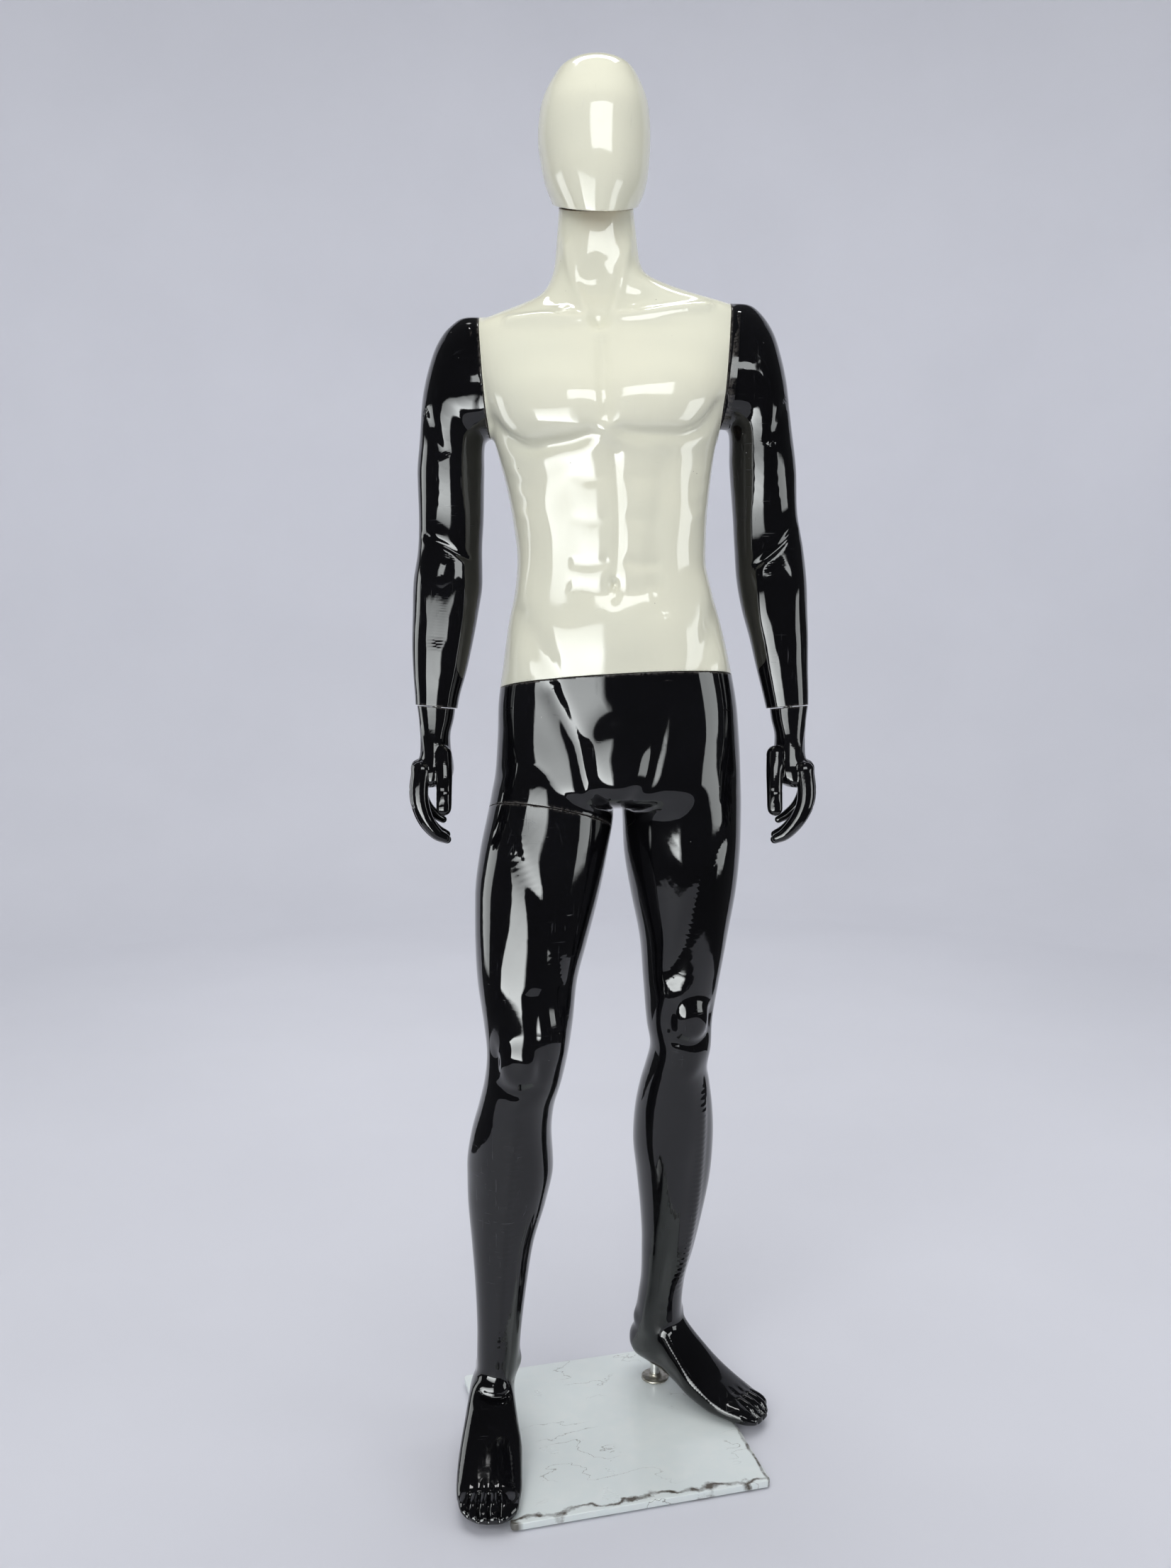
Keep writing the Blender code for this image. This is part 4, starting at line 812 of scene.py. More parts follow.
def cut_piece(name, skin, cuts, inside, wall=WALL):
    """The part of a skin round one point, cut at its seams, with rounded edges and its wall showing at each.

    A cut is a point on the seam, the direction out of the piece, and a test for the places that it may cut.
    """
    work = bmesh.new()
    work.from_mesh(skin)
    back = SEAM_GAP / 2 + EDGE_EASE
    for point, axis, test in cuts:
        faces = [face for face in work.faces if all(test(vert.co) for vert in face.verts)]
        edges = {edge for face in faces for edge in face.edges}
        verts = {vert for face in faces for vert in face.verts}
        geom = [*faces, *edges, *verts]
        bmesh.ops.bisect_plane(
            work, geom=geom, plane_co=point - axis * back, plane_no=axis, clear_outer=True
        )
    kept = flooded(work, inside)
    bmesh.ops.delete(work, geom=[vert for vert in work.verts if vert not in kept], context="VERTS")
    work.normal_update()
    for point, axis, test in cuts:
        level = (point - axis * back).dot(axis)
        edges = [edge for edge in work.edges if edge.is_boundary]
        edges = [
            edge for edge in edges if all(abs(vert.co.dot(axis) - level) < 2e-5 for vert in edge.verts)
        ]
        turn_in(work, edges, axis, rim_steps(EDGE_EASE, wall, LIP_DEPTH))
    made = bpy.data.meshes.new(name)
    work.to_mesh(made)
    work.free()
    wear = np.zeros(len(made.vertices))
    places = points_of(made)
    for point, axis, test in cuts:
        away = np.abs((places - np.array(point)) @ np.array(axis))
        close = np.array([test(Vector(place)) for place in places])
        wear = np.maximum(wear, np.exp(-((away / 0.0016) ** 2)) * close)
    made.attributes.new("seam_wear", "FLOAT", "POINT").data.foreach_set("value", wear.astype(np.float32))
    made.shade_smooth()
    made.set_sharp_from_angle(angle=math.radians(50))
    return add_object(name, made)


def lacquer(name, colour, cloud_colour, speck_colour, scuff_colour, dust_colour, roughness, scratchy):
    """Sprayed gloss over moulded glass-fibre: clouding, orange peel, hairline scratches, specks, worn seams."""
    made, nodes, links, shader = wired(name)
    cloud = levels_of(nodes, links, grain(nodes, links, 5.5, 4.0), 0.35, 0.68)
    shade = tint(nodes, links, cloud, colour, cloud_colour)
    spots = nodes.new("ShaderNodeTexVoronoi")
    spots.inputs["Scale"].default_value = 55.0
    where = nodes.new("ShaderNodeTexCoord")
    links.new(where.outputs["Object"], spots.inputs["Vector"])
    speck = levels_of(nodes, links, spots.outputs["Distance"], 0.018, 0.055, 1.0, 0.0)
    chosen = levels_of(nodes, links, grain(nodes, links, 16.0, 2.0), 0.56, 0.60)
    speck = sum_of(nodes, links, "MULTIPLY", speck, chosen)
    shade = tint(nodes, links, sum_of(nodes, links, "MULTIPLY", speck, 0.6), shade, speck_colour)
    hairs = None
    for stretch, turn, scale in (
        ((1.0, 1.0, 22.0), (0.5, 0.3, 0.0), 34.0),
        ((1.0, 24.0, 1.0), (0.2, 0.9, 0.4), 27.0),
        ((22.0, 1.0, 1.0), (1.1, 0.2, 0.8), 30.0),
    ):
        line = levels_of(nodes, links, grain(nodes, links, scale, 1.0, stretch, turn), 0.715, 0.765)
        hairs = line if hairs is None else sum_of(nodes, links, "MAXIMUM", hairs, line)
    rubbed = levels_of(nodes, links, grain(nodes, links, 9.0, 3.0), 0.48, 0.66)
    hairs = sum_of(nodes, links, "MULTIPLY", hairs, rubbed)
    shade = tint(nodes, links, sum_of(nodes, links, "MULTIPLY", hairs, scratchy), shade, scuff_colour)
    seam = nodes.new("ShaderNodeAttribute")
    seam.attribute_name = "seam_wear"
    gritty = levels_of(nodes, links, grain(nodes, links, 260.0, 4.0), 0.36, 0.62)
    worn = sum_of(nodes, links, "MULTIPLY", seam.outputs["Fac"], gritty)
    links.new(
        tint(nodes, links, sum_of(nodes, links, "MULTIPLY", worn, 0.4), shade, dust_colour),
        shader.inputs["Base Color"]
    )
    smear = levels_of(nodes, links, grain(nodes, links, 21.0, 6.0), 0.40, 0.75, roughness, roughness + 0.05)
    rough = sum_of(nodes, links, "ADD", smear, sum_of(nodes, links, "MULTIPLY", hairs, 0.25))
    links.new(
        sum_of(nodes, links, "ADD", rough, sum_of(nodes, links, "MULTIPLY", worn, 0.3)),
        shader.inputs["Roughness"]
    )
    peel = bump(nodes, links, grain(nodes, links, 210.0, 2.0), 0.000014)
    wave = bump(nodes, links, grain(nodes, links, 34.0, 2.0), 0.00010, peel)
    links.new(bump(nodes, links, hairs, -0.00003, wave), shader.inputs["Normal"])
    shader.inputs["IOR"].default_value = 1.5
    shader.inputs["Coat Weight"].default_value = 0.10
    shader.inputs["Coat Roughness"].default_value = 0.02
    return made


black_lacquer = lacquer(
    "black_lacquer", (0.002, 0.002, 0.0025), (0.004, 0.004, 0.005), (0.35, 0.35, 0.34), (0.10, 0.10, 0.11),
    (0.33, 0.30, 0.27), 0.035, 0.30,
)


def moulded(obj, nodes_replaced, body, finish):
    obj.data.materials.append(finish)
    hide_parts(*nodes_replaced)
    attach(obj, body)


def toes(mesh, heel, toe, edges, grooves, web, tip):
    """Presses five toes into the front of a foot: a groove between each two and a rounded top on each."""
    forward = (toe - heel).normalized()
    side = Vector((-forward.y, forward.x, 0.0))
    look = -(forward * 0.6 + Vector((0.0, 0.0, 0.8)))
    view = seen(mesh, look, side, forward, heel)
    low = points_of(mesh)[:, 2] < 0.07
    lift = np.zeros(len(low))
    for place in grooves:
        lift += fold(
            view, [(place * 0.9, web), (place, (web + tip) / 2), (place, tip)], 0.0021, -0.0040, 0.10
        )
    bounds = sorted([*edges, *grooves])
    for first, second in zip(bounds, bounds[1:]):
        middle, width = (first + second) / 2, (second - first) / 2
        lift += mound(view, (middle, tip - 0.024), (width * 0.75, 0.016), 0.0022)
        lift += mound(view, (middle, web - 0.004), (width * 0.8, 0.010), -0.0012)
        lift -= mound(view, (middle, tip - 0.0135), (width * 0.52, width * 0.62), 0.0007, 0.0, 4.0)
    press(mesh, lift * low)


FRONT = ((0.0, 1.0, 0.0), (1.0, 0.0, 0.0))
BACK = ((0.0, -1.0, 0.0), (1.0, 0.0, 0.0))


def turned_view(degrees):
    """Looking at the front of a limb that is turned towards the figure's left."""
    turn = math.radians(degrees)
    return (-math.sin(turn), math.cos(turn), 0.0), (math.cos(turn), math.sin(turn), 0.0)


lower_forms = [body_form(PELVIS, CHEST), body_form(RIGHT_LEG, ROUND), body_form(LEFT_LEG, ROUND)]
lower_forms += [foot_form(RIGHT_HEEL, RIGHT_TOE, RIGHT_FOOT), foot_form(LEFT_HEEL, LEFT_TOE, LEFT_FOOT)]
lower = clay("lower_skin", lower_forms, SKIN_GRAIN)
relax(lower, 12)
places = points_of(lower)
relax(lower, 40, near(places, (0.0, -0.07, 0.940), 0.085), keep=False)
relax(lower, 30, near(places, (-0.125, 0.0, 0.930), 0.075), keep=False)
relax(lower, 60, near(places, (0.150, 0.0, 0.930), 0.085), keep=False)
relax(lower, 40, near(places, (0.0, 0.10, 0.915), 0.11), keep=False)
relax(lower, 150, near(places, (0.105, -0.06, 0.925), 0.090), keep=False)
relax(lower, 40, near(places, (0.060, 0.140, 0.090), 0.070), keep=False)
relax(lower, 24, near(places, (-0.157, -0.035, 0.105), 0.065), keep=False)
relax(lower, 24, near(places, (0.085, 0.115, 0.115), 0.065), keep=False)
relax(lower, 8)

# Groin folds, the moulded bulge between them, and the two sides of the seat
view = seen(lower, *FRONT)
lift = relief(view, (
    ((0.006, 0.985), (0.034, 0.052), 0.011, 0.0, 1.6),
    ([(-0.086, 1.100), (-0.0741, 1.0667), (-0.0421, 0.9982), (-0.0266, 0.9403), (-0.004, 0.920)],
     0.0120, -0.0044),
    ([(0.080, 1.100), (0.0724, 1.0736), (0.0678, 1.0396), (0.0505, 0.9644), (0.0326, 0.9364),
      (0.018, 0.920)],
     0.0120, -0.0044),
    ((-0.100, 0.985), (0.030, 0.070), 0.004, 0.35),
    ((0.115, 0.985), (0.030, 0.070), 0.004, -0.35),
))
view = seen(lower, *BACK)
lift += relief(view, (
    ((-0.066, 0.968), (0.056, 0.062), 0.011, 0.0, 1.4),
    ((0.092, 0.972), (0.056, 0.062), 0.011, 0.0, 1.4),
    ([(0.014, 1.055), (0.013, 0.980), (0.012, 0.905)], 0.011, -0.016),
    ([(-0.140, 0.918), (-0.080, 0.894), (-0.015, 0.904)], 0.008, -0.005),
    ([(0.165, 0.922), (0.100, 0.898), (0.035, 0.908)], 0.008, -0.005),
))
# Backs of the thighs, hollows of the knees, and calves
lift += relief(view, (
    ([(-0.100, 0.870), (-0.115, 0.720), (-0.118, 0.610)], 0.012, -0.003),
    ([(0.105, 0.870), (0.103, 0.730), (0.100, 0.640)], 0.012, -0.003),
    ((-0.112, 0.585), (0.024, 0.030), -0.005),
    ((0.098, 0.600), (0.024, 0.030), -0.005),
    ((-0.158, 0.415), (0.020, 0.060), 0.004),
    ((-0.110, 0.405), (0.020, 0.060), 0.004),
    ((0.070, 0.440), (0.020, 0.060), 0.004),
    ((0.118, 0.430), (0.020, 0.060), 0.004),
    ([(-0.134, 0.480), (-0.136, 0.350)], 0.008, -0.003),
    ([(0.094, 0.500), (0.095, 0.370)], 0.008, -0.003),
    ((-0.176, 0.140), (0.008, 0.040), -0.004),
    ((-0.136, 0.140), (0.008, 0.040), -0.004),
))
press(lower, lift)

# Right thigh, knee and shin
view = seen(lower, *FRONT)
lift = relief(view, (
    ((-0.0752, 0.612), (0.022, 0.040), 0.0045, 0.2, 1.3),
    ((-0.150, 0.690), (0.021, 0.065), 0.004),
    ((-0.112, 0.770), (0.030, 0.110), 0.004),
    ([(-0.135, 0.890), (-0.090, 0.790), (-0.062, 0.690), (-0.054, 0.630)], 0.012, -0.003),
    ([(-0.100, 0.690), (-0.098, 0.640), (-0.096, 0.610)], 0.009, -0.003),
    ((-0.1205, 0.582), (0.023, 0.029), 0.0065, 0.0, 1.8),
    ([(-0.1530, 0.560), (-0.1440, 0.549), (-0.1214, 0.5454), (-0.0990, 0.548), (-0.0900, 0.557)],
     0.0090, -0.0016, 0.2),
    ((-0.152, 0.585), (0.009, 0.024), -0.0045),
    ((-0.090, 0.580), (0.009, 0.022), -0.0045),
    ((-0.122, 0.520), (0.013, 0.016), 0.003),
    ([(-0.124, 0.505), (-0.137, 0.370), (-0.1472, 0.251), (-0.151, 0.150)], 0.009, 0.0035),
    ((-0.158, 0.400), (0.018, 0.080), 0.003),
    ((-0.098, 0.420), (0.016, 0.060), 0.004),
))
# Left thigh, knee and shin, turned outwards
view = seen(lower, *turned_view(18))
lift += relief(view, (
    ((0.076, 0.650), (0.024, 0.044), 0.0035, -0.2, 1.3),
    ((0.132, 0.710), (0.021, 0.065), 0.003),
    ((0.103, 0.760), (0.030, 0.110), 0.003),
    ([(0.142, 0.900), (0.100, 0.810), (0.075, 0.715), (0.066, 0.650)], 0.012, -0.003),
    ((0.100, 0.620), (0.023, 0.026), 0.0075, 0.0, 2.0),
    ([(0.070, 0.601), (0.078, 0.592), (0.100, 0.588), (0.122, 0.591), (0.130, 0.599)],
     0.0080, -0.0018, 0.2),
    ((0.069, 0.620), (0.009, 0.022), -0.0045),
    ((0.131, 0.620), (0.009, 0.022), -0.0045),
    ((0.104, 0.548), (0.013, 0.016), 0.003),
))
view = seen(lower, *turned_view(35))
lift += relief(view, (
    ([(0.110, 0.520), (0.122, 0.400), (0.133, 0.280), (0.136, 0.160)], 0.009, 0.0035),
    ((0.098, 0.430), (0.018, 0.070), 0.003),
))
press(lower, lift)

# Ankle bones and the ledge where each instep starts
lower = finer(lower, lambda place: place.z < 0.125)
relax(lower, 4)
lift = np.zeros(len(lower.vertices))
view = seen(lower, (-1.0, 0.0, 0.0), (0.0, 1.0, 0.0))
on_right = points_of(lower)[:, 0] < 0.0
lift += mound(view, (-0.008, 0.118), (0.013, 0.015), 0.0045) * on_right
lift += mound(view, (0.135, 0.118), (0.013, 0.015), 0.0040) * ~on_right
view = seen(lower, (1.0, 0.0, 0.0), (0.0, 1.0, 0.0))
lift += mound(view, (0.006, 0.108), (0.013, 0.015), 0.0045) * on_right
lift += mound(view, (0.125, 0.112), (0.013, 0.015), 0.0045) * ~on_right
view = seen(lower, *FRONT)
lift += relief(view, (
    ([(-0.184, 0.1020), (-0.170, 0.0985), (-0.155, 0.0970), (-0.140, 0.0965), (-0.128, 0.0985)],
     0.0042, -0.0045, 0.2),
    ((-0.155, 0.112), (0.018, 0.010), 0.002),
))
press(lower, lift)
toes(lower, RIGHT_HEEL, RIGHT_TOE, (-0.043, 0.041), (-0.0285, -0.0150, -0.0015, 0.0125), 0.218, 0.262)
toes(lower, LEFT_HEEL, LEFT_TOE, (-0.039, 0.037), (-0.0115, 0.0010, 0.0135, 0.0260), 0.198, 0.241)

whole = lambda place: True
right_side = lambda place: place.x < FORK_X and place.z < 1.02
pelvis = cut_piece(
    "pelvis_and_left_leg", lower, [(WAIST_SEAM, WAIST_AXIS, whole), (THIGH_SEAM, THIGH_AXIS, right_side)],
    Vector((0.10, -0.07, 0.80)),
)
moulded(pelvis, ["pelvis_leg_shell"], "lower_body", black_lacquer)
right_leg = cut_piece(
    "right_leg", lower, [(THIGH_SEAM, -THIGH_AXIS, right_side)], Vector((-0.12, -0.09, 0.60))
)
moulded(right_leg, ["right_leg_shell"], "lower_body", black_lacquer)


# Upper body: the torso with its neck, in ivory lacquer, and the two arms, in black. The arms lock on at the
# shoulders so that a shirt can go on. All three are formed as one skin, so that they meet at the seams.
NECK_SEAM = Vector((-0.0185, 0.0240, 1.6870))
NECK_AXIS = Vector((0.0, -0.33, 1.0)).normalized()
SHOULDER_DROP = math.radians(5.0)
SHOULDER_SEAMS = {"right": Vector((-0.1635, 0.0300, 1.4750)), "left": Vector((0.1480, 0.0300, 1.4900))}
SHOULDER_AXES = {
    "right": Vector((-math.cos(SHOULDER_DROP), 0.0, -math.sin(SHOULDER_DROP))),
    "left": Vector((math.cos(SHOULDER_DROP), 0.0, -math.sin(SHOULDER_DROP))),
}
WRIST_SEAMS = {"right": Vector((-0.2305, 0.0000, 1.0450)), "left": Vector((0.2373, 0.0000, 1.0450))}
WRIST_AXES = {
    "right": Vector((-0.088, -0.100, -1.0)).normalized(),
    "left": Vector((0.088, -0.100, -1.0)).normalized(),
}
SHOULDER_CUT_FOOT = 1.33
TORSO = (
    (1.7150, -0.0660, 0.0290, -0.0330, 0.0790),
    (1.6770, -0.0670, 0.0300, -0.0340, 0.0800),
    (1.6390, -0.0700, 0.0350, -0.0360, 0.0840),
    (1.6140, -0.0725, 0.0390, -0.0380, 0.0880),
    (1.6010, -0.0750, 0.0460, -0.0380, 0.0920),
    (1.5880, -0.0820, 0.0750, -0.0380, 0.0960),
    (1.5750, -0.0930, 0.1150, -0.0400, 0.1000),
    (1.5660, -0.1150, 0.1520, -0.0430, 0.1040),
    (1.5550, -0.1430, 0.1740, -0.0500, 0.1080),
    (1.5400, -0.1760, 0.1760, -0.0620, 0.1120),
    (1.5100, -0.1820, 0.1760, -0.0820, 0.1200),
    (1.4800, -0.1790, 0.1700, -0.0980, 0.1240),
    (1.4450, -0.1690, 0.1590, -0.1120, 0.1280),
    (1.4100, -0.1560, 0.1430, -0.1170, 0.1280),
    (1.3900, -0.1510, 0.1385, -0.1120, 0.1260),
    (1.3700, -0.1456, 0.1350, -0.1010, 0.1240),
    (1.3350, -0.1362, 0.1307, -0.0950, 0.1180),
    (1.2900, -0.1275, 0.1265, -0.0920, 0.1090),
    (1.2400, -0.1220, 0.1255, -0.0880, 0.1020),
    (1.2000, -0.1250, 0.1335, -0.0870, 0.1020),
    (1.1500, -0.1350, 0.1480, -0.0880, 0.1080),
    (1.1000, -0.1420, 0.1600, -0.0900, 0.1180),
    (1.0500, -0.1490, 0.1700, -0.0900, 0.1290),
    (1.0200, -0.1500, 0.1730, -0.0900, 0.1340),
)
RIGHT_SHOULDER = (
    (1.5470, -0.1960, -0.1480, 0.0150, 0.0500),
    (1.5390, -0.2080, -0.1300, 0.0000, 0.0650),
    (1.5200, -0.2220, -0.1150, -0.0180, 0.0830),
    (1.4900, -0.2350, -0.1050, -0.0350, 0.0980),
    (1.4550, -0.2420, -0.1050, -0.0440, 0.1020),
    (1.4250, -0.2400, -0.1150, -0.0400, 0.0970),
    (1.4050, -0.2150, -0.1400, -0.0240, 0.0800),
    (1.3970, -0.1900, -0.1550, -0.0050, 0.0600),
)
LEFT_SHOULDER = (
    (1.5640, 0.1360, 0.1840, 0.0150, 0.0500),
    (1.5560, 0.1180, 0.1950, 0.0000, 0.0650),
    (1.5370, 0.1030, 0.2080, -0.0180, 0.0830),
    (1.5060, 0.0930, 0.2200, -0.0350, 0.0980),
    (1.4710, 0.0930, 0.2270, -0.0440, 0.1020),
    (1.4400, 0.1030, 0.2280, -0.0400, 0.0970),
    (1.4200, 0.1280, 0.2050, -0.0240, 0.0800),
    (1.4120, 0.1430, 0.1780, -0.0050, 0.0600),
)
RIGHT_ARM = (
    (1.5510, -0.1950, -0.1700, 0.0180, 0.0430),
    (1.5470, -0.2000, -0.1450, 0.0080, 0.0550),
    (1.5350, -0.2130, -0.1320, -0.0080, 0.0700),
    (1.5150, -0.2260, -0.1260, -0.0240, 0.0850),
    (1.4850, -0.2370, -0.1260, -0.0360, 0.0950),
    (1.4500, -0.2450, -0.1350, -0.0400, 0.0970),
    (1.4200, -0.2480, -0.1560, -0.0360, 0.0930),
    (1.3950, -0.2500, -0.1640, -0.0310, 0.0880),
    (1.3500, -0.2540, -0.1660, -0.0240, 0.0820),
    (1.2900, -0.2530, -0.1675, -0.0160, 0.0730),
    (1.2500, -0.2547, -0.1695, -0.0180, 0.0680),
    (1.2110, -0.2604, -0.1690, -0.0260, 0.0640),
    (1.1700, -0.2615, -0.1745, -0.0300, 0.0570),
    (1.1300, -0.2625, -0.1820, -0.0310, 0.0480),
    (1.0900, -0.2612, -0.1910, -0.0300, 0.0380),
    (1.0600, -0.2590, -0.1995, -0.0290, 0.0310),
    (1.0300, -0.2580, -0.2050, -0.0290, 0.0260),
)
LEFT_ARM = (
    (1.5680, 0.1570, 0.1830, 0.0180, 0.0430),
    (1.5640, 0.1330, 0.1880, 0.0080, 0.0550),
    (1.5520, 0.1220, 0.1990, -0.0080, 0.0700),
    (1.5320, 0.1160, 0.2115, -0.0240, 0.0850),
    (1.5000, 0.1160, 0.2225, -0.0360, 0.0950),
    (1.4650, 0.1250, 0.2305, -0.0400, 0.0970),
    (1.4350, 0.1470, 0.2343, -0.0360, 0.0930),
    (1.4100, 0.1555, 0.2378, -0.0310, 0.0880),
    (1.3590, 0.1580, 0.2451, -0.0240, 0.0820),
    (1.2980, 0.1630, 0.2485, -0.0160, 0.0730),
    (1.2560, 0.1655, 0.2560, -0.0180, 0.0680),
    (1.2110, 0.1686, 0.2610, -0.0260, 0.0640),
    (1.1740, 0.1753, 0.2620, -0.0300, 0.0570),
    (1.1360, 0.1857, 0.2631, -0.0310, 0.0480),
    (1.0990, 0.1943, 0.2632, -0.0300, 0.0380),
    (1.0620, 0.2038, 0.2642, -0.0290, 0.0310),
    (1.0300, 0.2115, 0.2643, -0.0290, 0.0260),
)

ivory_lacquer = lacquer(
    "ivory_lacquer", (0.81, 0.80, 0.64), (0.77, 0.77, 0.625), (0.16, 0.13, 0.10), (0.40, 0.38, 0.33),
    (0.36, 0.33, 0.28), 0.055, 0.10,
)

upper_forms = [body_form(TORSO, CHEST), body_form(RIGHT_SHOULDER, ROUND), body_form(LEFT_SHOULDER, ROUND)]
upper_forms += [body_form(RIGHT_ARM, ROUND), body_form(LEFT_ARM, ROUND)]
upper = clay("upper_skin", upper_forms, SKIN_GRAIN)
relax(upper, 12)
places = points_of(upper)
for side, centre in (("right", (-0.155, 0.02, 1.545)), ("left", (0.150, 0.02, 1.560))):
    relax(upper, 40, near(places, centre, 0.075), keep=False)
for centre in ((-0.160, -0.01, 1.405), (0.150, -0.01, 1.415), (-0.160, 0.08, 1.405), (0.150, 0.08, 1.415)):
    relax(upper, 40, near(places, centre, 0.060), keep=False)
relax(upper, 60, near(places, (0.030, 0.02, 1.590), 0.075), keep=False)
relax(upper, 60, near(places, (-0.080, 0.02, 1.580), 0.075), keep=False)
relax(upper, 8)

# Neck, collar bones and chest
view = seen(upper, *FRONT)
lift = relief(view, (
    ((-0.0150, 1.5300), (0.0105, 0.0105), -0.0085),
    ([(-0.0240, 1.5310), (-0.0330, 1.5480), (-0.0470, 1.5900), (-0.0590, 1.6450)], 0.0070, 0.0042),
    ([(-0.0060, 1.5310), (0.0020, 1.5460), (0.0130, 1.5900), (0.0230, 1.6450)], 0.0070, 0.0042),
    ((-0.0180, 1.5950), (0.0130, 0.0400), -0.0025),
    ((-0.0620, 1.5600), (0.0180, 0.0110), -0.0040),
    ((0.0330, 1.5620), (0.0180, 0.0110), -0.0040),
    ([(-0.0240, 1.5330), (-0.0600, 1.5335), (-0.0870, 1.5370), (-0.1400, 1.5330)], 0.0065, 0.0040, 0.12),
    ([(-0.0030, 1.5350), (0.0252, 1.5364), (0.0792, 1.5469), (0.1350, 1.5560)], 0.0065, 0.0040, 0.12),
    ((-0.0850, 1.5190), (0.0400, 0.0100), -0.0022),
    ((0.0560, 1.5240), (0.0400, 0.0100), -0.0022),
    ((-0.0850, 1.4330), (0.0600, 0.0400), 0.0075, 0.10, 1.7),
    ((0.0710, 1.4420), (0.0600, 0.0400), 0.0075, -0.10, 1.7),
    ([(-0.1620, 1.4260), (-0.1498, 1.4080), (-0.1316, 1.3880), (-0.1039, 1.3735), (-0.0726, 1.3765),
      (-0.0372, 1.3830), (-0.0100, 1.3960)],
     0.0085, -0.0075),
    ([(-0.0050, 1.3960), (0.0287, 1.3880), (0.0642, 1.3880), (0.0914, 1.3895), (0.1151, 1.4020),
      (0.1333, 1.4250), (0.1450, 1.4450)],
     0.0085, -0.0075),
    ([(-0.0140, 1.5180), (-0.0110, 1.4650), (-0.0074, 1.4150), (-0.0060, 1.3950)], 0.0085, -0.0048),
))
# Belly: the middle line, the two outer lines, three rows between them, the rib arch, navel and hip lines
lift += relief(view, (
    ([(-0.0010, 1.3900), (0.0060, 1.3300), (0.0086, 1.2653), (0.0056, 1.2100), (0.0040, 1.1700)],
     0.0070, -0.0032),
    ([(-0.0480, 1.3850), (-0.0570, 1.3500), (-0.0480, 1.2900), (-0.0420, 1.2250), (-0.0560, 1.1500)],
     0.0140, -0.0028),
    ([(0.0600, 1.3900), (0.0700, 1.3550), (0.0600, 1.2950), (0.0560, 1.2250), (0.0720, 1.1500)],
     0.0140, -0.0028),
))
for height, left_low, right_low, deep in (
    (1.3380, 0.004, 0.003, -0.0010), (1.2870, 0.002, 0.001, -0.0008), (1.2330, 0.000, 0.000, -0.0020)
):
    lift += fold(
        view, [(-0.0560, height + left_low), (-0.0260, height - 0.002), (0.0020, height + 0.004)], 0.0075,
        deep
    )
    lift += fold(
        view, [(0.0130, height + 0.004), (0.0380, height - 0.002), (0.0680, height + right_low)], 0.0075,
        deep
    )
for height in (1.3620, 1.3120, 1.2600):
    lift += mound(view, (-0.0220, height), (0.0180, 0.0170), 0.0010, 0.0, 1.5)
    lift += mound(view, (0.0350, height), (0.0180, 0.0170), 0.0010, 0.0, 1.5)
lift += relief(view, (
    ([(-0.0100, 1.3850), (-0.0550, 1.3540), (-0.0880, 1.3100), (-0.1060, 1.2550)], 0.0130, 0.0012),
    ([(0.0080, 1.3870), (0.0650, 1.3580), (0.0930, 1.3120), (0.1080, 1.2550)], 0.0130, 0.0012),
))
for i, (away, height) in enumerate(((0.118, 1.345), (0.112, 1.318), (0.108, 1.291))):
    lift += fold(
        view, [(-away - 0.018, height + 0.010), (-away + 0.016, height - 0.006)], 0.0070, 0.0012, 0.3
    )
    lift += fold(
        view, [(away - 0.012, height - 0.004), (away + 0.020, height + 0.012)], 0.0070, 0.0012, 0.3
    )
lift += relief(view, (
    ((0.0035, 1.2060), (0.0048, 0.0062), -0.0050),
    ((0.0035, 1.2060), (0.0160, 0.0130), -0.0012),
    ((0.0060, 1.1450), (0.0750, 0.0340), 0.0052, 0.0, 1.4),
    ([(-0.0650, 1.2040), (0.0040, 1.1960), (0.0750, 1.2060)], 0.0120, -0.0026),
    ([(-0.1340, 1.1880), (-0.1088, 1.1550), (-0.0741, 1.0985), (-0.0620, 1.0500)], 0.0160, -0.0030),
    ([(0.1500, 1.1880), (0.1327, 1.1550), (0.1114, 1.0985), (0.0950, 1.0500)], 0.0160, -0.0030),
    ((-0.1130, 1.2000), (0.0200, 0.0280), 0.0030),
    ((0.1250, 1.2000), (0.0200, 0.0280), 0.0030),
    ((-0.1180, 1.1080), (0.0180, 0.0300), 0.0035),
    ((0.1450, 1.1080), (0.0180, 0.0300), 0.0035),
))
# Back: the furrow of the spine, shoulder blades, and the long muscles beside the spine
view = seen(upper, *BACK)
lift += relief(view, (
    ([(-0.0150, 1.5600), (-0.0080, 1.4500), (0.0040, 1.3000), (0.0100, 1.1500), (0.0130, 1.0500)],
     0.0130, -0.0090, 0.12),
    ((-0.0950, 1.4500), (0.0420, 0.0480), 0.0070, 0.25, 1.6),
    ((0.0800, 1.4600), (0.0420, 0.0480), 0.0070, -0.25, 1.6),
    ([(-0.0560, 1.5150), (-0.0500, 1.4500), (-0.0780, 1.3950)], 0.0090, -0.0040),
    ([(0.0400, 1.5250), (0.0360, 1.4600), (0.0640, 1.4050)], 0.0090, -0.0040),
    ((-0.0320, 1.2400), (0.0170, 0.1000), 0.0045),
    ((0.0420, 1.2400), (0.0170, 0.1000), 0.0045),
    ((-0.0560, 1.1100), (0.0090, 0.0110), -0.0030),
    ((0.0830, 1.1100), (0.0090, 0.0110), -0.0030),
))
press(upper, lift)
relax(upper, 4)
upper_arms = finer(upper, lambda place: abs(place.x) > 0.145 and place.z < 1.46)
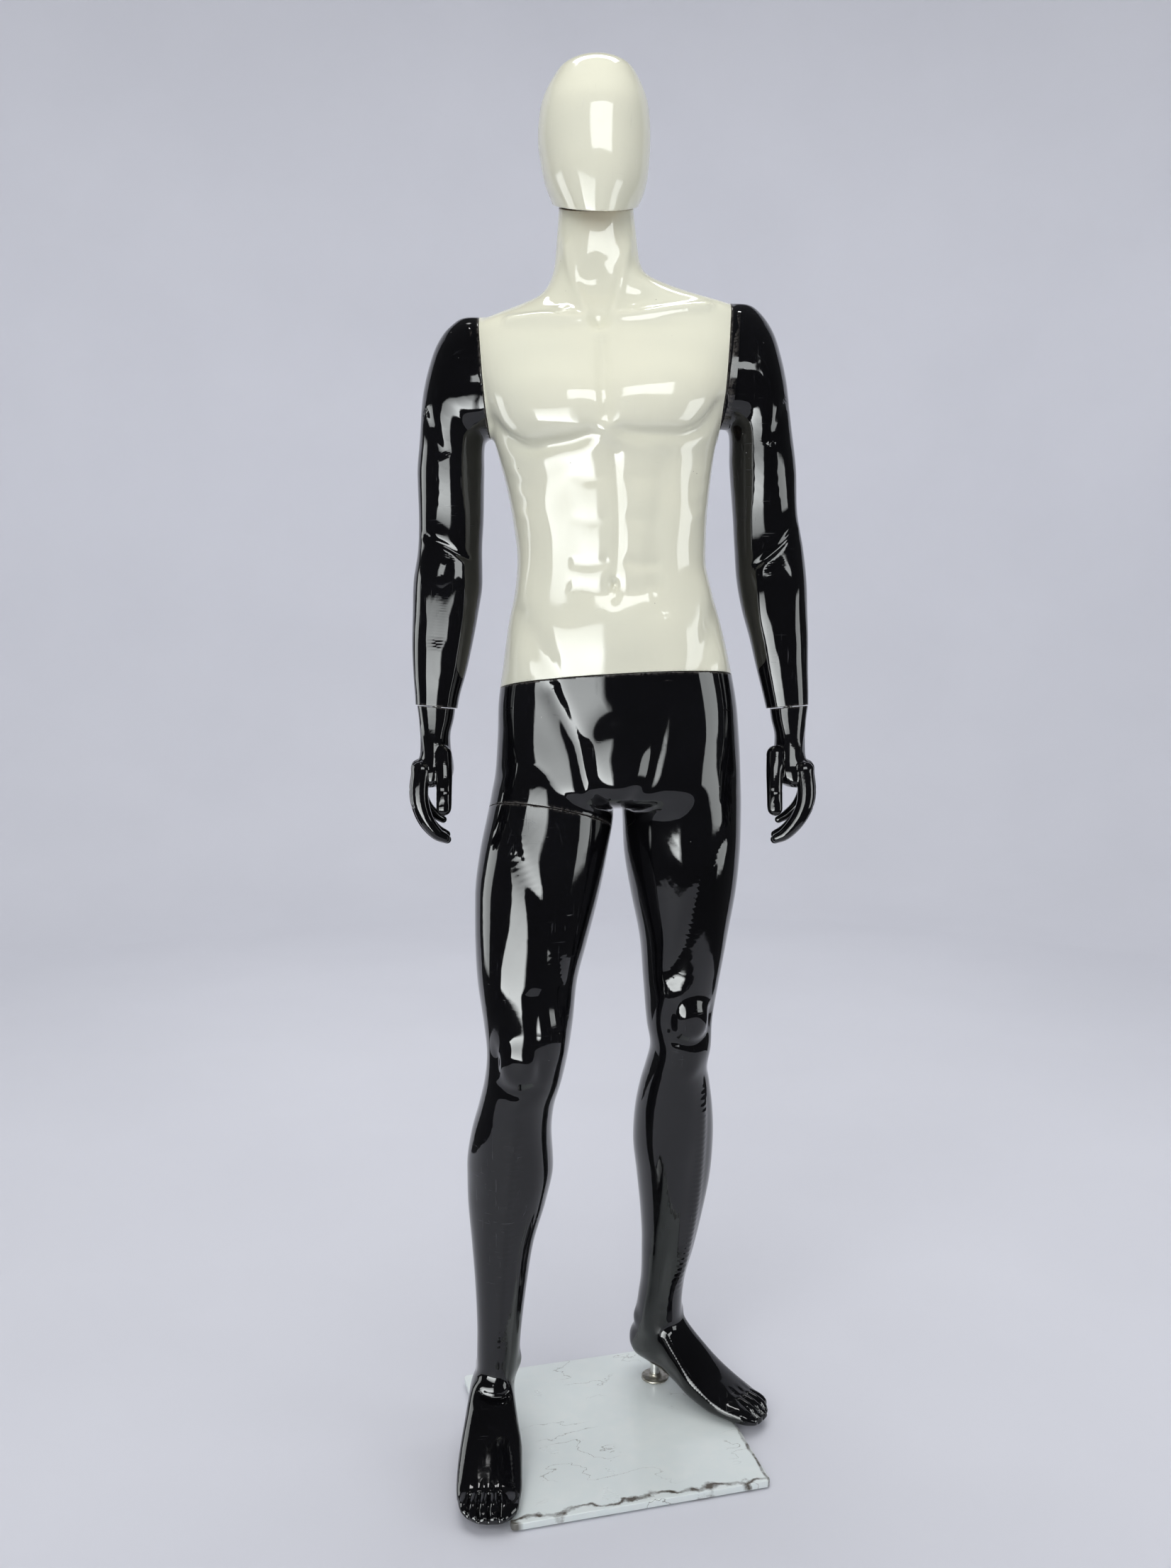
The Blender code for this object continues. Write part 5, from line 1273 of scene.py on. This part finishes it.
relax(upper_arms, 4)

# Arms: the cap of the shoulder, upper arm, the crease of the elbow and the forearm
view = seen(upper_arms, *FRONT)
lift = relief(view, (
    ((-0.2130, 1.4650), (0.0240, 0.0500), 0.0025),
    ((0.2000, 1.4800), (0.0240, 0.0500), 0.0025),
    ([(-0.2450, 1.4300), (-0.2250, 1.3950), (-0.2120, 1.3650)], 0.0090, -0.0026),
    ([(0.2330, 1.4450), (0.2150, 1.4100), (0.2020, 1.3800)], 0.0090, -0.0026),
    ((-0.2060, 1.3400), (0.0200, 0.0480), 0.0040),
    ((0.2000, 1.3500), (0.0200, 0.0480), 0.0040),
    ([(-0.2470, 1.2740), (-0.2355, 1.2658), (-0.2130, 1.2560), (-0.1906, 1.2424), (-0.1780, 1.2360)],
     0.0045, -0.0024),
    ((-0.2220, 1.2700), (0.0200, 0.0110), 0.0014, -0.45),
    ([(0.2500, 1.2830), (0.2379, 1.2750), (0.2230, 1.2590), (0.2072, 1.2447), (0.1840, 1.2261)],
     0.0045, -0.0024),
    ((0.2230, 1.2700), (0.0200, 0.0110), 0.0014, 0.60),
    ([(-0.2080, 1.2500), (-0.2160, 1.2150), (-0.2210, 1.1700), (-0.2260, 1.1200)], 0.0100, -0.0018),
    ([(0.2090, 1.2400), (0.2170, 1.2000), (0.2230, 1.1550), (0.2290, 1.1100)], 0.0100, -0.0018),
    ((-0.2420, 1.2100), (0.0120, 0.0450), 0.0030),
    ((0.2430, 1.2100), (0.0120, 0.0450), 0.0030),
    ((-0.1930, 1.2000), (0.0110, 0.0400), 0.0026),
    ((0.1970, 1.1950), (0.0110, 0.0400), 0.0026),
))
view = seen(upper_arms, *BACK)
lift += relief(view, (
    ((-0.2120, 1.2520), (0.0110, 0.0150), 0.0050),
    ((0.2100, 1.2580), (0.0110, 0.0150), 0.0050),
    ((-0.2180, 1.3800), (0.0180, 0.0500), 0.0035),
    ((0.2050, 1.3900), (0.0180, 0.0500), 0.0035),
    ([(-0.2060, 1.4400), (-0.2060, 1.3300)], 0.0080, -0.0022),
    ([(0.1950, 1.4500), (0.1970, 1.3400)], 0.0080, -0.0022),
    ((-0.2480, 1.0720), (0.0080, 0.0100), 0.0026),
    ((0.2530, 1.0720), (0.0080, 0.0100), 0.0026),
))
press(upper_arms, lift)

at_right = lambda place: place.z > SHOULDER_CUT_FOOT and place.x < -0.03
at_left = lambda place: place.z > SHOULDER_CUT_FOOT and place.x > 0.03
torso_cuts = [
    (NECK_SEAM, NECK_AXIS, lambda place: place.z > 1.60),
    (SHOULDER_SEAMS["right"], SHOULDER_AXES["right"], at_right),
    (SHOULDER_SEAMS["left"], SHOULDER_AXES["left"], at_left),
    (WAIST_SEAM, -WAIST_AXIS, lambda place: place.z < 1.20),
]
torso = cut_piece("torso", upper, torso_cuts, Vector((0.0, -0.11, 1.42)))
moulded(torso, ["torso_shell"], "upper_body", ivory_lacquer)
for side, at_side, hand_side, inside in (
    ("right", at_right, lambda place: place.z < 1.15 and place.x < -0.16, Vector((-0.21, -0.03, 1.35))),
    ("left", at_left, lambda place: place.z < 1.15 and place.x > 0.17, Vector((0.205, -0.03, 1.35))),
):
    arm_cuts = [
        (SHOULDER_SEAMS[side], -SHOULDER_AXES[side], at_side),
        (WRIST_SEAMS[side], WRIST_AXES[side], hand_side)
    ]
    arm = cut_piece(f"{side}_arm", upper_arms, arm_cuts, inside)
    moulded(arm, [f"{side}_arm_shell"], f"{side}_arm", black_lacquer)


# Head: a blank egg in the same ivory lacquer, moulded in one and cut flat on a slant under the jaw. It sits on the
# neck's peg and has settled with a slight roll, which leaves a dark wedge open at the neck's right side.
HEAD_ROLL = math.radians(1.6)
NECK_REACH = 0.052
HEAD_GRAIN = 0.0024
HEAD = (
    (1.8600, -0.0260, -0.0110, -0.0050, 0.0120),
    (1.8570, -0.0470, 0.0110, -0.0290, 0.0400),
    (1.8480, -0.0625, 0.0255, -0.0480, 0.0620),
    (1.8310, -0.0750, 0.0360, -0.0660, 0.0800),
    (1.8080, -0.0865, 0.0455, -0.0820, 0.0930),
    (1.7900, -0.0905, 0.0485, -0.0910, 0.0990),
    (1.7600, -0.0925, 0.0500, -0.0940, 0.1000),
    (1.7330, -0.0890, 0.0485, -0.0940, 0.0960),
    (1.7070, -0.0835, 0.0450, -0.0920, 0.0880),
    (1.6900, -0.0765, 0.0390, -0.0890, 0.0820),
    (1.6740, -0.0690, 0.0300, -0.0850, 0.0780),
    (1.6550, -0.0600, 0.0220, -0.0790, 0.0700),
    (1.6300, -0.0480, 0.0110, -0.0650, 0.0600),
)
head_axis = Matrix.Rotation(HEAD_ROLL, 3, Vector((0.0, 1.0, 0.0))) @ NECK_AXIS
head_seat = NECK_SEAM + head_axis * (SEAM_GAP / 2 + NECK_REACH * math.tan(HEAD_ROLL))
skull = clay("head_skin", [body_form(HEAD, ROUND)], HEAD_GRAIN)
relax(skull, 30)
relax(skull, 60, near(points_of(skull), (-0.0185, 0.0, 1.868), 0.075), keep=False)
relax(skull, 10)
view = seen(skull, *turned_view(9))
lift = relief(view, (
    ((-0.0180, 1.7900), (0.0480, 0.0260), 0.0010),
    ((-0.0190, 1.7050), (0.0240, 0.0360), 0.0005),
    ((-0.0560, 1.7350), (0.0240, 0.0480), -0.0004),
    ((0.0200, 1.7350), (0.0240, 0.0480), -0.0004),
))
press(skull, lift)
head = cut_piece(
    "head", skull, [(head_seat + head_axis * SEAM_GAP / 2, -head_axis, whole)], Vector((-0.02, 0.0, 1.86))
)
moulded(head, ["head_shell"], "head", ivory_lacquer)


# Hands: solid castings in the same black lacquer, each on a steel peg in the end of the forearm. The thumb hangs
# straight down beside the body and the four fingers lie together and curl in behind it, leaving a grip between.
HAND_GRAIN = 0.0011
HAND_WALL = 0.017
PALM = (
    (1.0700, -0.2578, -0.2030, -0.0275, 0.0280),
    (1.0600, -0.2575, -0.2040, -0.0270, 0.0270),
    (1.0300, -0.2540, -0.2075, -0.0290, 0.0250),
    (1.0060, -0.2515, -0.2125, -0.0330, 0.0240),
    (0.9850, -0.2520, -0.2110, -0.0400, 0.0240),
    (0.9700, -0.2560, -0.2080, -0.0460, 0.0250),
    (0.9560, -0.2610, -0.2085, -0.0490, 0.0240),
    (0.9470, -0.2600, -0.2150, -0.0470, 0.0190),
    (0.9420, -0.2540, -0.2250, -0.0400, 0.0100),
)
# Each digit from its root to its tip: x, y, z and radius, for the right hand
DIGITS = {
    "index": (
        (
            -0.2470, -0.0400, 0.9650, 0.0115
        ), (-0.2495, -0.0460, 0.9400, 0.0115), (-0.2475, -0.0490, 0.9200, 0.0108),
        (
            -0.2405, -0.0495, 0.9000, 0.0096
        ), (-0.2280, -0.0485, 0.8830, 0.0080), (-0.2165, -0.0470, 0.8760, 0.0062),
    ),
    "middle": (
        (
            -0.2510, -0.0240, 0.9650, 0.0110
        ), (-0.2545, -0.0290, 0.9380, 0.0108), (-0.2520, -0.0320, 0.9160, 0.0102),
        (
            -0.2440, -0.0325, 0.8950, 0.0090
        ), (-0.2300, -0.0320, 0.8785, 0.0076), (-0.2160, -0.0315, 0.8715, 0.0058),
    ),
    "ring": (
        (
            -0.2530, -0.0075, 0.9650, 0.0105
        ), (-0.2560, -0.0125, 0.9380, 0.0100), (-0.2530, -0.0155, 0.9170, 0.0095),
        (
            -0.2450, -0.0160, 0.8980, 0.0085
        ), (-0.2320, -0.0155, 0.8830, 0.0072), (-0.2185, -0.0150, 0.8755, 0.0056),
    ),
    "little": (
        (
            -0.2530, 0.0085, 0.9650, 0.0095
        ), (-0.2550, 0.0045, 0.9430, 0.0088), (-0.2520, 0.0020, 0.9260, 0.0082),
        (
            -0.2450, 0.0010, 0.9110, 0.0074
        ), (-0.2340, 0.0008, 0.8995, 0.0064), (-0.2240, 0.0005, 0.8930, 0.0050),
    ),
    "thumb": (
        (
            -0.2200, -0.0300, 0.9850, 0.0120
        ), (-0.2175, -0.0420, 0.9620, 0.0108), (-0.2170, -0.0500, 0.9400, 0.0102),
        (-0.2170, -0.0545, 0.9220, 0.0100), (-0.2172, -0.0560, 0.9170, 0.0098),
    ),
}


def limb(knots):
    """A round limb with domed ends, along a smooth line through its knots."""
    samples = course_through(knots, 8)
    course = np.gradient(samples[:, :3], axis=0)
    course /= np.linalg.norm(course, axis=1)[:, None]
    turn = np.linspace(0.0, math.tau, 28, endpoint=False)
    level = np.array((0.0, 1.0, 0.0))
    rings = []

    def ring(middle, forward, radius):
        first = np.cross(forward, level)
        first /= np.linalg.norm(first)
        second = np.cross(forward, first)
        rings.append(middle + radius * (np.cos(turn)[:, None] * first + np.sin(turn)[:, None] * second))

    for dome in (80, 60, 40, 20):
        angle = math.radians(dome)
        ring(
            samples[0, :3] - course[0] * samples[0, 3] * math.sin(angle), course[0],
            samples[0, 3] * math.cos(angle)
        )
    for sample, forward in zip(samples, course):
        ring(sample[:3], forward, sample[3])
    for dome in (20, 40, 60, 80):
        angle = math.radians(dome)
        ring(
            samples[-1, :3] + course[-1] * samples[-1, 3] * math.sin(angle), course[-1],
            samples[-1, 3] * math.cos(angle)
        )
    return skinned(rings)


def left_from_right(x, z, digit):
    """The left hand mirrors the right one, with its fingers a little further out from the thumb."""
    spread = -0.002 if digit == "thumb" else 0.0030 + 0.0045 * float(smooth_ramp(np.array(z), 0.88, 0.93))
    return -x + spread


for side in ("right", "left"):
    if side == "right":
        palm, digits = PALM, DIGITS
    else:
        palm = [
            (z, left_from_right(high, z, "palm"), left_from_right(low, z, "palm"), *deep) for z, low, high,
            *deep in PALM
        ]
        digits = {
            digit: [(left_from_right(x, z, digit), y, z, radius) for x, y, z, radius in knots]
            for digit, knots in DIGITS.items()
        }
    skin = clay(f"{side}_hand_skin", [body_form(palm, ROUND), *map(limb, digits.values())], HAND_GRAIN)
    relax(skin, 10)
    places = points_of(skin)
    relax(skin, 30, near(places, (WRIST_SEAMS[side].x, -0.010, 0.975), 0.036), keep=False)
    outward = -1.0 if side == "right" else 1.0
    view = seen(skin, *FRONT)
    nail = digits["thumb"][-1]
    lift = mound(view, (nail[0], nail[2] + 0.003), (0.0058, 0.0085), -0.0007, 0.0, 4.0)
    lift += mound(view, (nail[0], 0.9400), (0.0090, 0.0030), -0.0006)
    view = seen(skin, (-outward, 0.0, 0.0), (0.0, 1.0, 0.0))
    for digit in ("index", "middle", "ring", "little"):
        root, middle, joint = digits[digit][0], digits[digit][1], digits[digit][2]
        lift += mound(view, (root[1] - 0.001, 0.9700), (0.0060, 0.0080), 0.0016)
        lift += fold(
            view, [(root[1], 0.9760), (root[1] * 0.6, 1.0050), (root[1] * 0.3, 1.0300)], 0.0026, 0.0007, 0.3
        )
        for bend in (middle, joint):
            lift += mound(view, (bend[1], bend[2]), (0.0060, 0.0018), -0.0004)
    press(skin, lift)
    hand_cut = [(WRIST_SEAMS[side], -WRIST_AXES[side], whole)]
    hand = cut_piece(f"{side}_hand_casting", skin, hand_cut, Vector(digits["middle"][2][:3]), HAND_WALL)
    moulded(hand, [f"{side}_hand"], f"{side}_hand", black_lacquer)


# Boards: discs of pressed board glued into the ends of the shells to carry the fittings, with a rough sawn edge,
# dabs of resin and a grain of chips in light and dark browns.
pressed_board, nodes, links, shader = wired("pressed_board")
chips = levels_of(nodes, links, grain(nodes, links, 520.0, 6.0, (1.0, 1.0, 3.0)), 0.30, 0.70)
shade = tint(nodes, links, chips, (0.36, 0.25, 0.15), (0.60, 0.46, 0.31))
resin = levels_of(nodes, links, grain(nodes, links, 38.0, 4.0), 0.58, 0.64)
links.new(tint(nodes, links, resin, shade, (0.50, 0.44, 0.30)), shader.inputs["Base Color"])
links.new(levels_of(nodes, links, resin, 0.0, 1.0, 0.85, 0.30), shader.inputs["Roughness"])
links.new(bump(nodes, links, grain(nodes, links, 900.0, 6.0), 0.00018), shader.inputs["Normal"])
for name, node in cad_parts.items():
    if "board" in name or "plug" in name:
        node.data.materials.clear()
        node.data.materials.append(pressed_board)


# Fittings: zinc-plated steel. At the shoulders, waist and thigh a stud with a cross bar goes in through the slot of a
# cup and locks behind its lip with a part turn. The head and hands turn on plain pegs, and a closed tube bonded in
# the left foot slides down over the rod. Pan-head screws hold the cups to their boards.
TOUCH = 0.0003
RUNNING = 0.0004
PLATE_DEPTH = 0.0040
PLATE_THICK = 0.0024
PLATE_EASE = 0.0004
BAR_THICK = 0.0050
CUP_WALL = 0.0020
SCREW_RADIUS = 0.0022
SCREW_HEAD_RADIUS = 0.0038
SCREW_HEAD_THICK = 0.0012
SCREW_LENGTH = 0.0100
SCREW_PITCH = 0.0009
DRIVE_RADIUS = 0.0016
DRIVE_DEPTH = 0.0007
SHOULDER_FITTING = (0.024, 0.0065, 0.0105, 0.016)
WAIST_FITTING = (0.042, 0.0100, 0.0160, 0.022)
THIGH_FITTING = (0.030, 0.0080, 0.0130, 0.018)


def across(point, axis):
    """A frame with its origin at the point and its +Z along the axis."""
    return Matrix.Translation(point) @ axis.to_track_quat("Z", "Y").to_matrix().to_4x4()


def block(size, middle, turn=0.0, sides=4):
    """A prism: a box, or with six sides a hexagon across the size."""
    work = bmesh.new()
    if sides == 4:
        bmesh.ops.create_cube(work, size=1.0)
        bmesh.ops.transform(work, matrix=Matrix.Diagonal((*size, 1.0)), verts=work.verts)
    else:
        bmesh.ops.create_cone(
            work, cap_ends=True, segments=sides, radius1=size[0] / 2, radius2=size[0] / 2, depth=size[2]
        )
    place = Matrix.Translation(middle) @ Matrix.Rotation(turn, 4, "Z")
    bmesh.ops.transform(work, matrix=place, verts=work.verts)
    made = bpy.data.meshes.new("block")
    work.to_mesh(made)
    work.free()
    return made


def worked(mesh, operation, tool):
    """A mesh cut by another or run together with it."""
    first, second = add_object("work", mesh), add_object("tool", tool)
    cut = first.modifiers.new("cut", "BOOLEAN")
    cut.operation = operation
    cut.object = second
    made = bpy.data.meshes.new_from_object(first.evaluated_get(bpy.context.evaluated_depsgraph_get()))
    bpy.data.objects.remove(first)
    bpy.data.objects.remove(second)
    made.shade_smooth()
    made.set_sharp_from_angle(angle=math.radians(35))
    return made


def fit(name, node, body, mesh, place):
    made = add_object(name, mesh)
    made.matrix_world = place
    made.data.materials.append(zinc_plate)
    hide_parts(node)
    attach(made, body)


def stud_mesh(plate, radius, head, length):
    face, back, tip = PLATE_DEPTH, PLATE_DEPTH - PLATE_THICK, -PLATE_DEPTH - length
    profile = [
        (0.0, face), (plate - PLATE_EASE, face), (plate, face - PLATE_EASE), (plate, back + PLATE_EASE)
    ]
    profile += [(plate - PLATE_EASE, back), (radius + PLATE_EASE, back), (radius, back - PLATE_EASE)]
    profile += [(radius, tip + PLATE_EASE), (radius - PLATE_EASE, tip), (0.0, tip)]
    reach = math.sqrt(head**2 - radius**2)
    bar = block((2 * reach, 2 * (radius - RUNNING), BAR_THICK), (0.0, 0.0, tip + 0.00025 + BAR_THICK / 2))
    return worked(turned("stud", profile, 64), "UNION", bar)


def cup_mesh(plate, stud_radius, head, length, slot_turn):
    mouth, inner = stud_radius + RUNNING, head + RUNNING
    outer, face, lip = inner + CUP_WALL, -PLATE_DEPTH + PLATE_THICK, -PLATE_DEPTH
    floor = lip - length - RUNNING
    profile = [
        (mouth, face), (plate - PLATE_EASE, face), (plate, face - PLATE_EASE), (plate, lip), (outer, lip)
    ]
    profile += [(outer, floor - CUP_WALL + PLATE_EASE), (outer - PLATE_EASE, floor - CUP_WALL)]
    profile += [(mouth, floor - CUP_WALL), (mouth, floor), (inner, floor), (inner, lip), (mouth, lip)]
    slot = block((2 * inner, 2 * mouth, 4 * PLATE_THICK), (0.0, 0.0, face), slot_turn)
    return worked(turned("cup", profile, 64), "DIFFERENCE", slot)


def screw_mesh():
    foot = -PLATE_DEPTH + PLATE_THICK + TOUCH
    top = foot + SCREW_HEAD_THICK
    profile = [(0.0, top), (SCREW_HEAD_RADIUS - 0.0008, top), (SCREW_HEAD_RADIUS - 0.0002, top - 0.0004)]
    profile += [(SCREW_HEAD_RADIUS, foot + 0.0003), (SCREW_HEAD_RADIUS, foot), (SCREW_RADIUS, foot)]
    crest = foot - SCREW_PITCH
    while crest > top - SCREW_LENGTH + SCREW_PITCH:
        profile += [(SCREW_RADIUS, crest), (SCREW_RADIUS * 0.72, crest - SCREW_PITCH / 2)]
        crest -= SCREW_PITCH
    profile += [(SCREW_RADIUS * 0.5, top - SCREW_LENGTH + 0.0004), (0.0, top - SCREW_LENGTH)]
    drive = block((2 * DRIVE_RADIUS, 0.0, 2 * DRIVE_DEPTH), (0.0, 0.0, top), 0.0, 6)
    return worked(turned("screw", profile, 32), "DIFFERENCE", drive)


locks = [
    (
        "right_shoulder", "right_arm", "upper_body", SHOULDER_SEAMS["right"], SHOULDER_AXES["right"],
        SHOULDER_FITTING, 2, 120
    ),
    (
        "left_shoulder", "left_arm", "upper_body", SHOULDER_SEAMS["left"], SHOULDER_AXES["left"],
        SHOULDER_FITTING, 2, 120
    ),
    ("waist", "upper_body", "lower_body", WAIST_SEAM, WAIST_AXIS, WAIST_FITTING, 3, 90),
    ("thigh", "lower_body", "lower_body", THIGH_SEAM, THIGH_AXIS, THIGH_FITTING, 2, 90),
]
for name, stud_body, cup_body, point, axis, sizes, screws, slot_degrees in locks:
    place = across(point, axis)
    fit(f"{name}_lock_stud", f"{name}_stud", stud_body, stud_mesh(*sizes), place)
    fit(f"{name}_lock_cup", f"{name}_socket", cup_body, cup_mesh(*sizes, math.radians(slot_degrees)), place)
    circle = (sizes[0] + sizes[2] + RUNNING + CUP_WALL) / 2
    for i in range(screws):
        turn = math.tau * i / screws + math.pi / 2
        spot = place @ Matrix.Translation((circle * math.cos(turn), circle * math.sin(turn), 0.0))
        fit(f"{name}_plate_screw_{i + 1}", f"{name}_socket_screw_{i + 1}", cup_body, screw_mesh(), spot)

peg_face = -PLATE_DEPTH + TOUCH
neck_profile = [
    (0.0, 0.030), (0.0060, 0.030), (0.0074, 0.0294), (0.0080, 0.028), (0.0080, peg_face + PLATE_THICK)
]
neck_profile += [
    (0.0256, peg_face + PLATE_THICK), (0.0260, peg_face + PLATE_THICK - PLATE_EASE), (0.0260, peg_face)
]
neck_profile += [(0.0080, peg_face), (0.0080, -0.018), (0.0, -0.018)]
fit(
    "neck_turning_peg", "neck_peg", "upper_body", turned("neck_turning_peg", neck_profile, 64),
    across(NECK_SEAM, NECK_AXIS)
)
wrist_profile = [
    (0.0, 0.018), (0.0052, 0.018), (0.0060, 0.0172), (0.0060, -0.0172), (0.0052, -0.018), (0.0, -0.018)
]
for side in ("right", "left"):
    peg = turned(f"{side}_wrist_pin", wrist_profile, 48)
    fit(
        f"{side}_wrist_pin", f"{side}_wrist_peg", f"{side}_hand", peg,
        across(WRIST_SEAMS[side], WRIST_AXES[side])
    )
TUBE_WALL = 0.0021
tube_foot, tube_top = 0.0385, ROD_TOP + RUNNING
tube_inner = ROD_RADIUS + RUNNING
tube_outer = tube_inner + TUBE_WALL
tube_profile = [
    (0.0, tube_top + TUBE_WALL), (tube_outer - 0.0005, tube_top + TUBE_WALL), (tube_outer, tube_top + 0.0016)
]
tube_profile += [
    (tube_outer, tube_foot + 0.0003), (tube_outer - 0.0003, tube_foot), (tube_inner + 0.0003, tube_foot)
]
tube_profile += [(tube_inner, tube_foot + 0.0003), (tube_inner, tube_top), (0.0, tube_top)]
fit("foot_tube", "foot_socket_tube", "lower_body", turned("foot_tube", tube_profile, 64), rod_foot_place)
